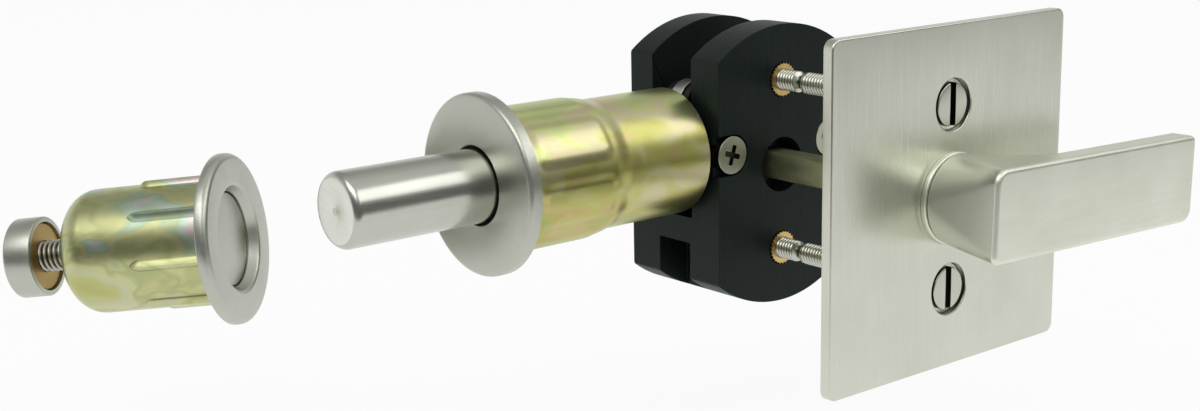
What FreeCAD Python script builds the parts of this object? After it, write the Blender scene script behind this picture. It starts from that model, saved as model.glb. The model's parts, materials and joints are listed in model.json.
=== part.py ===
import FreeCAD, Part
import math
import os

import Sketcher

# Barn door privacy lock with its separate strike set, in millimetres.
# Frame: the origin is the centre of the sleeve flange's back face, which seats on the door's edge.
# +X runs along the bolt into the door, -Y faces the lever side, +Z is up.
# At rest the bolt is thrown and the lever lies level, pointing along +X.

doc = FreeCAD.newDocument("barn_door_privacy_lock")

SIZES = {
    # door and layout
    "backset": 60.0,
    "bolt_above_hub": 3.5,
    "bolt_throw": 25.4,
    "lever_swing": 90.0,
    # bolt rod
    "bolt_diameter": 13.0,
    "bolt_reach": 30.1,
    "bolt_edge_round": 1.4,
    "centre_mark_radius": 0.45,
    "centre_mark_depth": 0.4,
    "bolt_rear": 13.0,
    # collar and lug on the rear of the rod
    "guide_front": 9.0,
    "guide_length": 5.0,
    "guide_clearance": 0.08,
    "lug_length": 10.0,
    "lug_thickness": 3.3,
    "lug_bottom": 3.9,
    "lug_top": 9.6,
    "guide_pin_diameter": 2.5,
    "guide_pin_inset": 2.4,
    "guide_pin_drop": 0.6,
    # straps that carry the follower pin
    "strap_thickness": 1.5,
    "strap_bottom": 4.8,
    "strap_top": 9.8,
    "strap_front": 15.0,
    "strap_lobe_radius": 3.0,
    "rivet_diameter": 2.2,
    "rivet_head_diameter": 3.4,
    "rivet_head_height": 0.5,
    "rivet_inset": 2.2,
    "rivet_pitch": 4.6,
    "follower_diameter": 2.6,
    "follower_overhang": 0.4,
    # rose on the door edge
    "rose_thickness": 2.5,
    "rose_rim_width": 1.1,
    "rose_face_round": 0.2,
    "rose_rim_step": 0.25,
    "rose_rim_round": 0.9,
    "rose_hole_clearance": 0.5,
    "rose_skirt_gap": 0.15,
    "rose_skirt_wall": 0.95,
    # drawn sleeve
    "flange_diameter": 29.8,
    "flange_thickness": 0.8,
    "sleeve_wall": 1.0,
    "sleeve_front_diameter": 25.0,
    "sleeve_rear_diameter": 23.7,
    "sleeve_front_length": 20.0,
    "sleeve_taper_length": 2.6,
    "sleeve_body_gap": 1.2,
    "panel_count": 7,
    "panel_angle": 38.0,
    "panel_turn": 36.6,
    "panel_height": 0.45,
    "panel_start": 2.2,
    "panel_length": 17.6,
    "panel_corner": 2.6,
    "bush_length": 7.6,
    "bush_clearance": 0.08,
    "seat_clearance": 0.03,
    # yoke that ties the sleeve to the lock body
    "yoke_thickness": 1.2,
    "yoke_window_bottom": 3.4,
    "yoke_window_side": 0.3,
    "ear_thickness": 1.2,
    "ear_half_height": 2.9,
    # moulded lock body
    "body_diameter": 53.2,
    "body_depth": 24.4,
    "body_flat": 16.4,
    "body_edge_round": 0.8,
    "slot_front": 4.7,
    "slot_rear": 6.0,
    "slot_floor": 9.0,
    "notch_front": 4.1,
    "notch_rear": 4.4,
    "notch_top": 14.0,
    "notch_depth": 7.0,
    "hub_bore_diameter": 10.4,
    "hub_clearance": 0.06,
    # clamp screws through the slabs
    "clamp_offset": 12.8,
    "clamp_diameter": 4.0,
    "clamp_bite": 5.0,
    "blind_gap": 0.2,
    "clamp_head_diameter": 7.1,
    "clamp_head_height": 1.5,
    "clamp_recess_diameter": 7.7,
    "clamp_recess_depth": 1.6,
    "clamp_hole_clearance": 0.15,
    "cross_width": 1.0,
    "cross_span": 3.8,
    "cross_depth": 0.9,
    # brass inserts
    "screw_spacing": 32.3,
    "insert_diameter": 6.5,
    "insert_length": 7.0,
    "insert_proud": 0.25,
    "knurl_count": 26,
    "knurl_depth": 0.28,
    "knurl_fill": 0.8,
    # trim screws
    "trim_screw_diameter": 4.0,
    "trim_screw_bite": 5.0,
    "thread_clearance": 0.05,
    "screw_head_diameter": 7.6,
    "screw_head_height": 1.2,
    "screw_slot_width": 1.5,
    "screw_slot_depth": 0.8,
    "break_groove_width": 1.9,
    "break_groove_flank": 0.3,
    "break_groove_depth": 0.55,
    "break_groove_count": 4,
    "break_groove_pitch": 8.0,
    "break_groove_start": 4.4,
    # square trim plate
    "plate_side": 60.0,
    "plate_thickness": 2.1,
    "plate_standoff": 38.35,
    "plate_corner": 1.8,
    "plate_edge_round": 0.3,
    "counterbore_diameter": 9.1,
    "counterbore_depth": 1.4,
    "screw_hole_clearance": 0.2,
    # drive hub and its slotted arm
    "hub_disc_diameter": 15.0,
    "hub_side_gap": 0.2,
    "hub_face_inset": 4.0,
    "spindle_side": 5.0,
    "spindle_clearance": 0.1,
    "spindle_rear_inset": 1.0,
    "spindle_grip": 10.0,
    "arm_thickness": 2.8,
    "arm_half_width": 4.0,
    "arm_strap_gap": 0.25,
    "arm_slot_clearance": 1.25,
    "arm_slot_end_gap": 0.45,
    "arm_tip_wall": 1.6,
    # lever and its seat on the plate
    "lever_shank_diameter": 10.0,
    "lever_collar_thickness": 1.0,
    "lever_collar_diameter": 16.2,
    "lever_neck_diameter": 15.8,
    "lever_side_gap": 0.1,
    "lever_running_gap": 0.06,
    "lever_height": 15.9,
    "lever_thickness": 4.3,
    "lever_face_reach": 14.95,
    "lever_tail": 8.3,
    "lever_length": 48.8,
    "lever_throat_round": 9.0,
    "lever_edge_round": 0.9,
    "lever_tail_lower_round": 1.5,
    "lever_tail_upper_round": 2.6,
    "lever_end_lower_round": 2.4,
    "lever_end_upper_round": 1.3,
    "lever_droop": 1.8,
    "washer_diameter": 16.0,
    "washer_thickness": 0.8,
    "ring_thickness": 0.8,
    "ring_diameter": 12.4,
    "ring_groove_depth": 0.7,
    "shank_end": 1.0,
    # strike set
    "strike_x": -25.1,
    "strike_y": 47.9,
    "strike_z": -14.1,
    "strike_yaw": -47.8,
    "strike_pitch": 6.2,
    "strike_flange_diameter": 32.0,
    "strike_flange_thickness": 2.3,
    "strike_lip_diameter": 19.3,
    "strike_hole_diameter": 17.9,
    "strike_dish_depth": 1.8,
    "strike_lip_reach": 0.5,
    "strike_lip_gap": 0.1,
    "strike_seat_depth": 1.0,
    "strike_rim_round": 1.3,
    "cup_diameter": 23.4,
    "cup_wall": 0.9,
    "cup_length": 29.7,
    "cup_corner": 5.3,
    "rib_count": 8,
    "rib_point": 2.0,
    "rib_sunk": 0.5,
    "rib_height": 0.7,
    "rib_length": 14.8,
    "rib_turn": 4.5,
    "plunger_diameter": 17.5,
    "plunger_recess": 2.1,
    "plunger_lip_gap": 0.1,
    "plunger_skirt_length": 5.0,
    "plunger_wall": 1.0,
    "plunger_rim_diameter": 21.2,
    "spring_diameter": 11.0,
    "spring_wire": 0.9,
    "spring_turns": 7,
    "stud_diameter": 6.0,
    "stud_head_diameter": 9.0,
    "stud_head_height": 2.4,
    "stud_clearance": 0.15,
    "cap_gap": 6.4,
    "cap_diameter": 15.1,
    "cap_length": 5.3,
    "cap_wall": 1.0,
    "cap_core_recess": 0.5,
}


class Size:
    """A length or an angle that knows its value and the sheet formula that gives it."""

    def __init__(self, value, text):
        self.value = float(value)
        self.text = text

    def __add__(self, other):
        other = as_size(other)
        return Size(self.value + other.value, f"({self.text} + {other.text})")

    def __radd__(self, other):
        return as_size(other) + self

    def __sub__(self, other):
        other = as_size(other)
        return Size(self.value - other.value, f"({self.text} - {other.text})")

    def __rsub__(self, other):
        return as_size(other) - self

    def __mul__(self, other):
        other = as_size(other)
        return Size(self.value * other.value, f"({self.text} * {other.text})")

    def __rmul__(self, other):
        return as_size(other) * self

    def __truediv__(self, other):
        other = as_size(other)
        return Size(self.value / other.value, f"({self.text} / {other.text})")

    def __rtruediv__(self, other):
        return as_size(other) / self

    def __neg__(self):
        return Size(-self.value, f"(0 - {self.text})")


def as_size(number):
    """Takes a plain number as a size without a cell."""
    return number if isinstance(number, Size) else Size(number, repr(float(number)))


def tangent_of(angle):
    return Size(math.tan(math.radians(angle.value)), f"tan({angle.text} * 1deg)")


def cosine_of(angle):
    return Size(math.cos(math.radians(angle.value)), f"cos({angle.text} * 1deg)")


def sine_of(angle):
    return Size(math.sin(math.radians(angle.value)), f"sin({angle.text} * 1deg)")


class Cells:
    """The driving sizes, each with its own cell in the sheet."""


sheet = doc.addObject("Spreadsheet::Sheet", "Sizes")
size = Cells()
for row, (name, number) in enumerate(SIZES.items(), start=1):
    sheet.set(f"A{row}", name)
    sheet.set(f"B{row}", str(number))
    sheet.setAlias(f"B{row}", name)
    setattr(size, name, Size(number, f"Sizes.{name}"))
doc.recompute()


def bind(thing, place, value):
    """Sets a property of a feature and ties it to the sheet."""
    value = as_size(value)
    setattr(thing, place, value.value)
    thing.setExpression(place, value.text)


def new_body(label):
    body = doc.addObject("PartDesign::Body", label)
    body.Label = label
    return body


def origin_item(body, role):
    return [item for item in body.Origin.OriginFeatures if item.Role == role][0]


def new_sketch(body, plane, label, lift=0.0, turn=0.0):
    """A sketch on one of the body's own origin planes, lifted along its normal and turned in it."""
    lift, turn = as_size(lift), as_size(turn)
    sketch = body.newObject("Sketcher::SketchObject", label)
    sketch.AttachmentSupport = [(origin_item(body, plane), "")]
    sketch.MapMode = "FlatFace"
    rotation = FreeCAD.Rotation(FreeCAD.Vector(0, 0, 1), turn.value)
    sketch.AttachmentOffset = FreeCAD.Placement(FreeCAD.Vector(0, 0, lift.value), rotation)
    sketch.setExpression("AttachmentOffset.Base.z", lift.text)
    sketch.setExpression("AttachmentOffset.Rotation.Angle", turn.text)
    return sketch


def new_rolled_sketch(body, label, roll, radius=0.0):
    """A sketch through the body's X axis, rolled about it and moved out to a radius."""
    roll, radius = as_size(roll), as_size(radius)
    sketch = body.newObject("Sketcher::SketchObject", label)
    sketch.AttachmentSupport = [(origin_item(body, "XY_Plane"), "")]
    sketch.MapMode = "FlatFace"
    across, up = radius * cosine_of(roll), radius * sine_of(roll)
    sketch.AttachmentOffset = FreeCAD.Placement(
        FreeCAD.Vector(0, across.value, up.value),
        FreeCAD.Rotation(FreeCAD.Vector(1, 0, 0), roll.value),
    )
    sketch.setExpression("AttachmentOffset.Base.y", across.text)
    sketch.setExpression("AttachmentOffset.Base.z", up.text)
    sketch.setExpression("AttachmentOffset.Rotation.Angle", roll.text)
    return sketch


def pin_point(sketch, line, end, across, up):
    """Holds a point of a sketch at its distances from the sketch's origin."""
    for kind, distance in (("DistanceX", across), ("DistanceY", up)):
        index = sketch.addConstraint(Sketcher.Constraint(kind, line, end, distance.value))
        sketch.setExpression(f"Constraints[{index}]", distance.text)


def outline(sketch, corners, bows=None):
    """A closed outline with every corner held by the sheet.

    bows gives the sides that are arcs, by the number of the corner they start at, each with its
    centre and its radius. Every other side is straight.
    """
    corners = [(as_size(across), as_size(up)) for across, up in corners]
    spots = [FreeCAD.Vector(across.value, up.value, 0) for across, up in corners]
    sides = []
    for i, spot in enumerate(spots):
        far = spots[(i + 1) % len(spots)]
        if bows and i in bows:
            (across, up), radius = bows[i]
            middle = FreeCAD.Vector(as_size(across).value, as_size(up).value, 0)
            crown = middle + ((spot + far) / 2 - middle).normalize() * as_size(radius).value
            side = sketch.addGeometry(Part.Arc(spot, crown, far))
            first = 1 if sketch.getPoint(side, 1).distanceToPoint(spot) < NEAR else 2
            index = sketch.addConstraint(Sketcher.Constraint("Radius", side, as_size(radius).value))
            sketch.setExpression(f"Constraints[{index}]", as_size(radius).text)
        else:
            side, first = sketch.addGeometry(Part.LineSegment(spot, far)), 1
        sides.append((side, first, 3 - first))
    for i, (side, first, last) in enumerate(sides):
        after, after_first, _ = sides[(i + 1) % len(sides)]
        sketch.addConstraint(Sketcher.Constraint("Coincident", side, last, after, after_first))
        pin_point(sketch, side, first, *corners[i])


def circle(sketch, across, up, radius):
    across, up, radius = as_size(across), as_size(up), as_size(radius)
    middle = FreeCAD.Vector(across.value, up.value, 0)
    ring = sketch.addGeometry(Part.Circle(middle, FreeCAD.Vector(0, 0, 1), radius.value))
    index = sketch.addConstraint(Sketcher.Constraint("Radius", ring, radius.value))
    sketch.setExpression(f"Constraints[{index}]", radius.text)
    pin_point(sketch, ring, 3, across, up)


def rectangle(sketch, left, bottom, right, top):
    outline(sketch, [(left, bottom), (right, bottom), (right, top), (left, top)])


def rounded_rectangle(sketch, left, bottom, right, top, rounds):
    """A rectangle with a radius, or None, for each corner from the lower left one to the upper left."""
    spots = [(left, bottom), (right, bottom), (right, top), (left, top)]
    inwards = [(1, 1), (-1, 1), (-1, -1), (1, -1)]
    corners, bows = [], {}
    for i, ((across, up), (right_way, up_way), radius) in enumerate(zip(spots, inwards, rounds)):
        if radius is None:
            corners.append((across, up))
            continue
        inner_across, inner_up = across + right_way * radius, up + up_way * radius
        ends = [(inner_across, up), (across, inner_up)]
        if i % 2 == 0:
            ends.reverse()
        bows[len(corners)] = ((inner_across, inner_up), radius)
        corners += ends
    outline(sketch, corners, bows)


def pad(body, sketch, length, both_sides=False, reverse=False):
    feature = body.newObject("PartDesign::Pad", f"{body.Label}_pad")
    feature.Profile = sketch
    feature.SideType = "Symmetric" if both_sides else "One side"
    feature.Reversed = reverse
    bind(feature, "Length", length)
    body.Tip = feature
    doc.recompute()
    return feature


def pocket(body, sketch, length, both_sides=False, reverse=False):
    """Cuts a sketch's outline into the body and makes sure that it took something away."""
    before = body.Shape.Volume
    feature = body.newObject("PartDesign::Pocket", f"{body.Label}_pocket")
    feature.Profile = sketch
    feature.SideType = "Symmetric" if both_sides else "One side"
    feature.Reversed = reverse
    bind(feature, "Length", length)
    body.Tip = feature
    doc.recompute()
    if body.Shape.Volume > before - LEAST_CUT:
        raise RuntimeError(f"{feature.Label} cuts nothing")
    return feature


def turned(body, sketch, axis, kind="Revolution", angle=360.0):
    """A solid or a groove turned about one of the sketch's own axes."""
    before = body.Shape.Volume if kind == "Groove" else None
    feature = body.newObject(f"PartDesign::{kind}", f"{body.Label}_{kind.lower()}")
    feature.Profile = sketch
    feature.ReferenceAxis = (sketch, [axis])
    bind(feature, "Angle", angle)
    body.Tip = feature
    doc.recompute()
    if before is not None and body.Shape.Volume > before - LEAST_CUT:
        raise RuntimeError(f"{feature.Label} cuts nothing")
    return feature


def ring_of(body, feature, count, axis_role):
    """Repeats a feature round one of the body's origin axes."""
    pattern = body.newObject("PartDesign::PolarPattern", f"{body.Label}_ring")
    pattern.Originals = [feature]
    pattern.Axis = (origin_item(body, axis_role), [""])
    pattern.Angle = 360.0
    pattern.Occurrences = int(count.value)
    pattern.setExpression("Occurrences", count.text)
    body.Tip = pattern
    doc.recompute()
    return pattern


def edge_names(shape, wanted):
    return [f"Edge{i}" for i, edge in enumerate(shape.Edges, start=1) if wanted(edge)]


def soften(body, wanted, radius, kind="Fillet"):
    """Rounds or bevels the edges of the body that the test picks."""
    base = body.Tip
    names = edge_names(base.Shape, wanted)
    if not names:
        raise RuntimeError(f"{body.Label} has no such edge to soften")
    feature = body.newObject(f"PartDesign::{kind}", f"{body.Label}_{kind.lower()}")
    feature.Base = (base, names)
    bind(feature, "Radius" if kind == "Fillet" else "Size", radius)
    body.Tip = feature
    doc.recompute()
    return feature


def is_ring(edge, axis, station, radius):
    """Is this edge a full circle round the axis, at this station along it?"""
    if not isinstance(edge.Curve, Part.Circle):
        return False
    middle = edge.Curve.Center
    along = {"X": middle.x, "Y": middle.y, "Z": middle.z}[axis]
    near = abs(along - as_size(station).value) < NEAR
    return near and abs(edge.Curve.Radius - as_size(radius).value) < NEAR


def place(body, x=0.0, y=0.0, up=0.0):
    """Puts a finished body at its seat in the lock."""
    x, y, up = as_size(x), as_size(y), as_size(up)
    body.Placement = FreeCAD.Placement(FreeCAD.Vector(x.value, y.value, up.value), FreeCAD.Rotation())
    for way, value in (("x", x), ("y", y), ("z", up)):
        body.setExpression(f"Placement.Base.{way}", value.text)
    doc.recompute()


def place_on_hub(body, up=0.0):
    place(body, size.backset, 0.0, up - size.bolt_above_hub)


def place_strike(body, along=0.0):
    """Puts a strike piece, made with its mouth towards its own +X, where the loose strike lies."""
    yaw, pitch = size.strike_yaw, size.strike_pitch
    body.Placement = FreeCAD.Placement(
        FreeCAD.Vector(size.strike_x.value, size.strike_y.value, size.strike_z.value),
        FreeCAD.Rotation(yaw.value, -pitch.value, 0),
    )
    for way, value in (("x", size.strike_x), ("y", size.strike_y), ("z", size.strike_z)):
        body.setExpression(f"Placement.Base.{way}", value.text)
    body.setExpression("Placement.Rotation.Yaw", yaw.text)
    body.setExpression("Placement.Rotation.Pitch", f"0 - {pitch.text}")
    doc.recompute()


# Sizes that several pieces share

NEAR = 1e-3
LEAST_CUT = 1e-5
bolt_radius = size.bolt_diameter / 2
guide_back = size.guide_front + size.guide_length
sleeve_length = size.backset - size.body_flat - size.sleeve_body_gap
rear_bore_radius = size.sleeve_rear_diameter / 2 - size.sleeve_wall
front_bore_radius = size.sleeve_front_diameter / 2 - size.sleeve_wall
half_body = size.body_depth / 2
pin_height = size.bolt_throw / 2 / tangent_of(size.lever_swing / 2) - size.bolt_above_hub
pin_station = size.backset - size.bolt_throw / 2
follower_radius = size.follower_diameter / 2
strap_inner = size.arm_thickness / 2 + size.arm_strap_gap
strap_outer = strap_inner + size.strap_thickness
strap_middle = (size.strap_bottom + size.strap_top) / 2
plate_back = half_body + size.plate_standoff
plate_front = plate_back + size.plate_thickness
insert_offset = size.screw_spacing / 2
shank_radius = size.lever_shank_diameter / 2
shank_length = size.lever_side_gap * 2 + size.washer_thickness + size.ring_thickness + size.shank_end
ring_front = plate_back - size.lever_side_gap - size.washer_thickness
neck_start = plate_front + size.lever_collar_thickness + size.lever_side_gap
bore_side = size.spindle_side + 2 * size.spindle_clearance
clamp_radius = size.clamp_diameter / 2
screw_radius = size.trim_screw_diameter / 2
cup_radius = size.cup_diameter / 2
cup_floor = size.cup_length - size.cup_wall
cap_front = size.cup_length + size.cap_gap
behind_lip = -size.strike_lip_reach - size.plunger_lip_gap
plunger_back = behind_lip - size.plunger_wall


def rivet_station(step):
    """Where a rivet of the straps stands along the bolt."""
    return size.strap_front + size.rivet_inset + size.rivet_pitch * step


def bolt_rod():
    """Turned steel bolt with a rounded nose and the lathe's centre mark."""
    body = new_body("bolt_rod")
    sketch = new_sketch(body, "XY_Plane", "bolt_rod_section")
    outline(sketch, [
        (-size.bolt_reach, 0),
        (size.bolt_rear, 0),
        (size.bolt_rear, bolt_radius),
        (-size.bolt_reach, bolt_radius),
    ])
    turned(body, sketch, "H_Axis")
    soften(body, lambda edge: is_ring(edge, "X", -size.bolt_reach, bolt_radius), size.bolt_edge_round)
    mark = new_sketch(body, "XY_Plane", "bolt_rod_mark")
    outline(mark, [
        (-size.bolt_reach - size.centre_mark_depth, 0),
        (-size.bolt_reach + size.centre_mark_depth, 0),
        (-size.bolt_reach - size.centre_mark_depth, size.centre_mark_radius * 2),
    ])
    turned(body, mark, "H_Axis", "Groove")
    hole = new_sketch(body, "XY_Plane", "bolt_rod_pin_hole", lift=-bolt_radius)
    circle(hole, guide_back - size.guide_pin_inset, 0, size.guide_pin_diameter / 2)
    pocket(body, hole, size.bolt_diameter, reverse=True)
    place(body)
    return body


def bolt_guide():
    """Cast collar on the rod's rear, which slides in the sleeve and carries the strap lug."""
    body = new_body("bolt_guide")
    radius = rear_bore_radius - size.guide_clearance
    sketch = new_sketch(body, "XY_Plane", "bolt_guide_section")
    bore = bolt_radius + size.seat_clearance
    floor = size.bolt_rear + size.seat_clearance
    outline(sketch, [
        (size.guide_front, bore),
        (floor, bore),
        (floor, 0),
        (guide_back, 0),
        (guide_back, radius),
        (size.guide_front, radius),
    ])
    turned(body, sketch, "H_Axis")
    lug = new_sketch(body, "XZ_Plane", "bolt_guide_lug")
    rectangle(lug, floor, size.lug_bottom, guide_back + size.lug_length, size.lug_top)
    pad(body, lug, size.lug_thickness, both_sides=True)
    hole = new_sketch(body, "XY_Plane", "bolt_guide_pin_hole", lift=-size.body_depth)
    circle(hole, guide_back - size.guide_pin_inset, 0, size.guide_pin_diameter / 2)
    pocket(body, hole, size.body_depth * 2, reverse=True)
    rivets = new_sketch(body, "XZ_Plane", "bolt_guide_rivet_holes")
    for step in range(2):
        circle(rivets, rivet_station(step), strap_middle, size.rivet_diameter / 2)
    pocket(body, rivets, size.lug_thickness * 2, both_sides=True)
    place(body)
    return body


def guide_pin():
    """Hardened cross pin that fixes the collar to the rod."""
    body = new_body("guide_pin")
    radius = rear_bore_radius - size.guide_clearance
    length = 2 * (radius - size.guide_pin_drop)
    sketch = new_sketch(body, "XY_Plane", "guide_pin_section", lift=-length / 2)
    circle(sketch, guide_back - size.guide_pin_inset, 0, size.guide_pin_diameter / 2)
    pad(body, sketch, length)
    place(body)
    return body


def tail_straps():
    """Two stamped steel straps, one each side of the hub's arm, as one riveted pair."""
    body = new_body("tail_straps")
    for side in (1, -1):
        near = strap_inner if side > 0 else -strap_outer
        sketch = new_sketch(body, "XZ_Plane", "tail_strap_blank", lift=near)
        rectangle(sketch, size.strap_front, size.strap_bottom, pin_station, size.strap_top)
        pad(body, sketch, size.strap_thickness)
        lobe = new_sketch(body, "XZ_Plane", "tail_strap_lobe", lift=near)
        circle(lobe, pin_station, pin_height, size.strap_lobe_radius)
        pad(body, lobe, size.strap_thickness)
    holes = new_sketch(body, "XZ_Plane", "tail_strap_holes")
    circle(holes, pin_station, pin_height, follower_radius)
    for step in range(2):
        circle(holes, rivet_station(step), strap_middle, size.rivet_diameter / 2)
    pocket(body, holes, size.body_depth, both_sides=True)
    place(body)
    return body


def tail_rivets():
    """Two headed rivets through the straps and the collar's lug."""
    body = new_body("tail_rivets")
    grip = 2 * strap_outer
    shanks = new_sketch(body, "XZ_Plane", "tail_rivet_shanks")
    for step in range(2):
        circle(shanks, rivet_station(step), strap_middle, size.rivet_diameter / 2)
    pad(body, shanks, grip, both_sides=True)
    for side in (1, -1):
        heads = new_sketch(body, "XZ_Plane", "tail_rivet_heads", lift=side * strap_outer)
        for step in range(2):
            circle(heads, rivet_station(step), strap_middle, size.rivet_head_diameter / 2)
        pad(body, heads, size.rivet_head_height, reverse=side < 0)
    place(body)
    return body


def tail_pin():
    """Follower pin across the straps, which the hub's slotted arm drives."""
    body = new_body("tail_pin")
    sketch = new_sketch(body, "XZ_Plane", "tail_pin_section")
    circle(sketch, pin_station, pin_height, follower_radius)
    pad(body, sketch, 2 * (strap_outer + size.follower_overhang), both_sides=True)
    place(body)
    return body


def bolt_rose():
    """Pressed rose that covers the sleeve's flange: flat face, fine step and a rounded rim."""
    body = new_body("bolt_rose")
    hole = bolt_radius + size.rose_hole_clearance
    skirt = size.flange_diameter / 2 + size.rose_skirt_gap
    outer = skirt + size.rose_skirt_wall
    face = outer - size.rose_rim_width
    step = size.rose_rim_step - size.rose_thickness
    bead = size.rose_rim_round
    sketch = new_sketch(body, "XY_Plane", "bolt_rose_section")
    outline(
        sketch,
        [
            (-size.rose_thickness, hole),
            (-size.rose_thickness, face),
            (step, face),
            (step, outer - bead),
            (step + bead, outer),
            (0, outer),
            (0, skirt),
            (-size.flange_thickness, skirt),
            (-size.flange_thickness, hole),
        ],
        bows={3: ((step + bead, outer - bead), bead)},
    )
    turned(body, sketch, "H_Axis")
    soften(body, lambda edge: is_ring(edge, "X", -size.rose_thickness, face), size.rose_face_round)
    place(body)
    return body


def bolt_sleeve():
    """Deep-drawn steel sleeve: flange, wide front with seven pressed panels, taper and rear tube."""
    body = new_body("bolt_sleeve")
    front, rear = size.sleeve_front_diameter / 2, size.sleeve_rear_diameter / 2
    taper_end = size.sleeve_front_length + size.sleeve_taper_length
    gap_angle = 360 / size.panel_count - size.panel_angle
    gap_turn = 180 - size.panel_turn - size.panel_angle / 2 - gap_angle
    sketch = new_rolled_sketch(body, "bolt_sleeve_section", gap_turn + gap_angle / 2)
    outline(sketch, [
        (-size.flange_thickness, front_bore_radius),
        (-size.flange_thickness, size.flange_diameter / 2),
        (0, size.flange_diameter / 2),
        (0, front),
        (size.sleeve_front_length, front),
        (taper_end, rear),
        (sleeve_length, rear),
        (sleeve_length, rear_bore_radius),
        (taper_end, rear_bore_radius),
        (size.sleeve_front_length, front_bore_radius),
    ])
    turned(body, sketch, "H_Axis")
    sleeve_panels(body, gap_turn, gap_angle)
    place(body)
    return body


def sleeve_panels(body, gap_turn, gap_angle):
    """Presses the seven raised panels into the sleeve's wide front."""
    front = size.sleeve_front_diameter / 2
    crest = front + size.panel_height
    band = new_rolled_sketch(body, "sleeve_panel_band", gap_turn + gap_angle / 2)
    panel_end = size.panel_start + size.panel_length
    rectangle(band, size.panel_start, front - size.sleeve_wall / 2, panel_end, crest)
    turned(body, band, "H_Axis")
    gap = new_rolled_sketch(body, "sleeve_panel_gap", gap_turn)
    rectangle(gap, size.panel_start - size.sleeve_wall, front, panel_end + size.sleeve_wall, crest * 2)
    cut = turned(body, gap, "H_Axis", "Groove", gap_angle)
    ring_of(body, cut, size.panel_count, "X_Axis")

    def is_panel_corner(edge):
        if not isinstance(edge.Curve, Part.Line):
            return False
        ends = [vertex.Point for vertex in edge.Vertexes]
        rear = all(abs(spot.x - panel_end.value) < NEAR for spot in ends)
        return rear and abs(edge.Length - size.panel_height.value) < size.panel_height.value / 10

    soften(body, is_panel_corner, size.panel_corner)


def front_bush():
    """Acetal bush in the sleeve's mouth, in which the bolt rod slides."""
    body = new_body("front_bush")
    sketch = new_sketch(body, "XY_Plane", "front_bush_section")
    rectangle(
        sketch,
        -size.flange_thickness,
        bolt_radius + size.bush_clearance,
        size.bush_length,
        front_bore_radius - size.seat_clearance,
    )
    turned(body, sketch, "H_Axis")
    place(body)
    return body


def sleeve_yoke():
    """Stamped end disc of the sleeve, with two ears that the left clamp screw holds."""
    body = new_body("sleeve_yoke")
    disc_at = sleeve_length - size.yoke_thickness
    sketch = new_sketch(body, "YZ_Plane", "sleeve_yoke_disc", lift=disc_at)
    circle(sketch, 0, 0, rear_bore_radius - size.seat_clearance)
    pad(body, sketch, size.yoke_thickness)
    side = strap_outer + size.rivet_head_height + size.yoke_window_side
    window = new_sketch(body, "YZ_Plane", "sleeve_yoke_window", lift=sleeve_length)
    rectangle(window, -side, size.yoke_window_bottom, side, size.sleeve_rear_diameter / 2)
    pocket(body, window, size.yoke_thickness * 2)
    screw_at = size.backset - size.clamp_offset
    front_ear = size.slot_front - size.seat_clearance - size.ear_thickness
    for near in (front_ear, size.seat_clearance - size.slot_rear):
        ear = new_sketch(body, "XZ_Plane", "sleeve_yoke_ear", lift=near)
        low, high = -size.ear_half_height, size.ear_half_height
        rectangle(ear, disc_at, low, screw_at, high)
        pad(body, ear, size.ear_thickness)
        end = new_sketch(body, "XZ_Plane", "sleeve_yoke_ear_end", lift=near)
        circle(end, screw_at, 0, size.ear_half_height)
        pad(body, end, size.ear_thickness)
    hole = new_sketch(body, "XZ_Plane", "sleeve_yoke_holes")
    circle(hole, screw_at, 0, clamp_radius + size.clamp_hole_clearance)
    pocket(body, hole, size.body_depth, both_sides=True)
    place(body)
    return body


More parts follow.
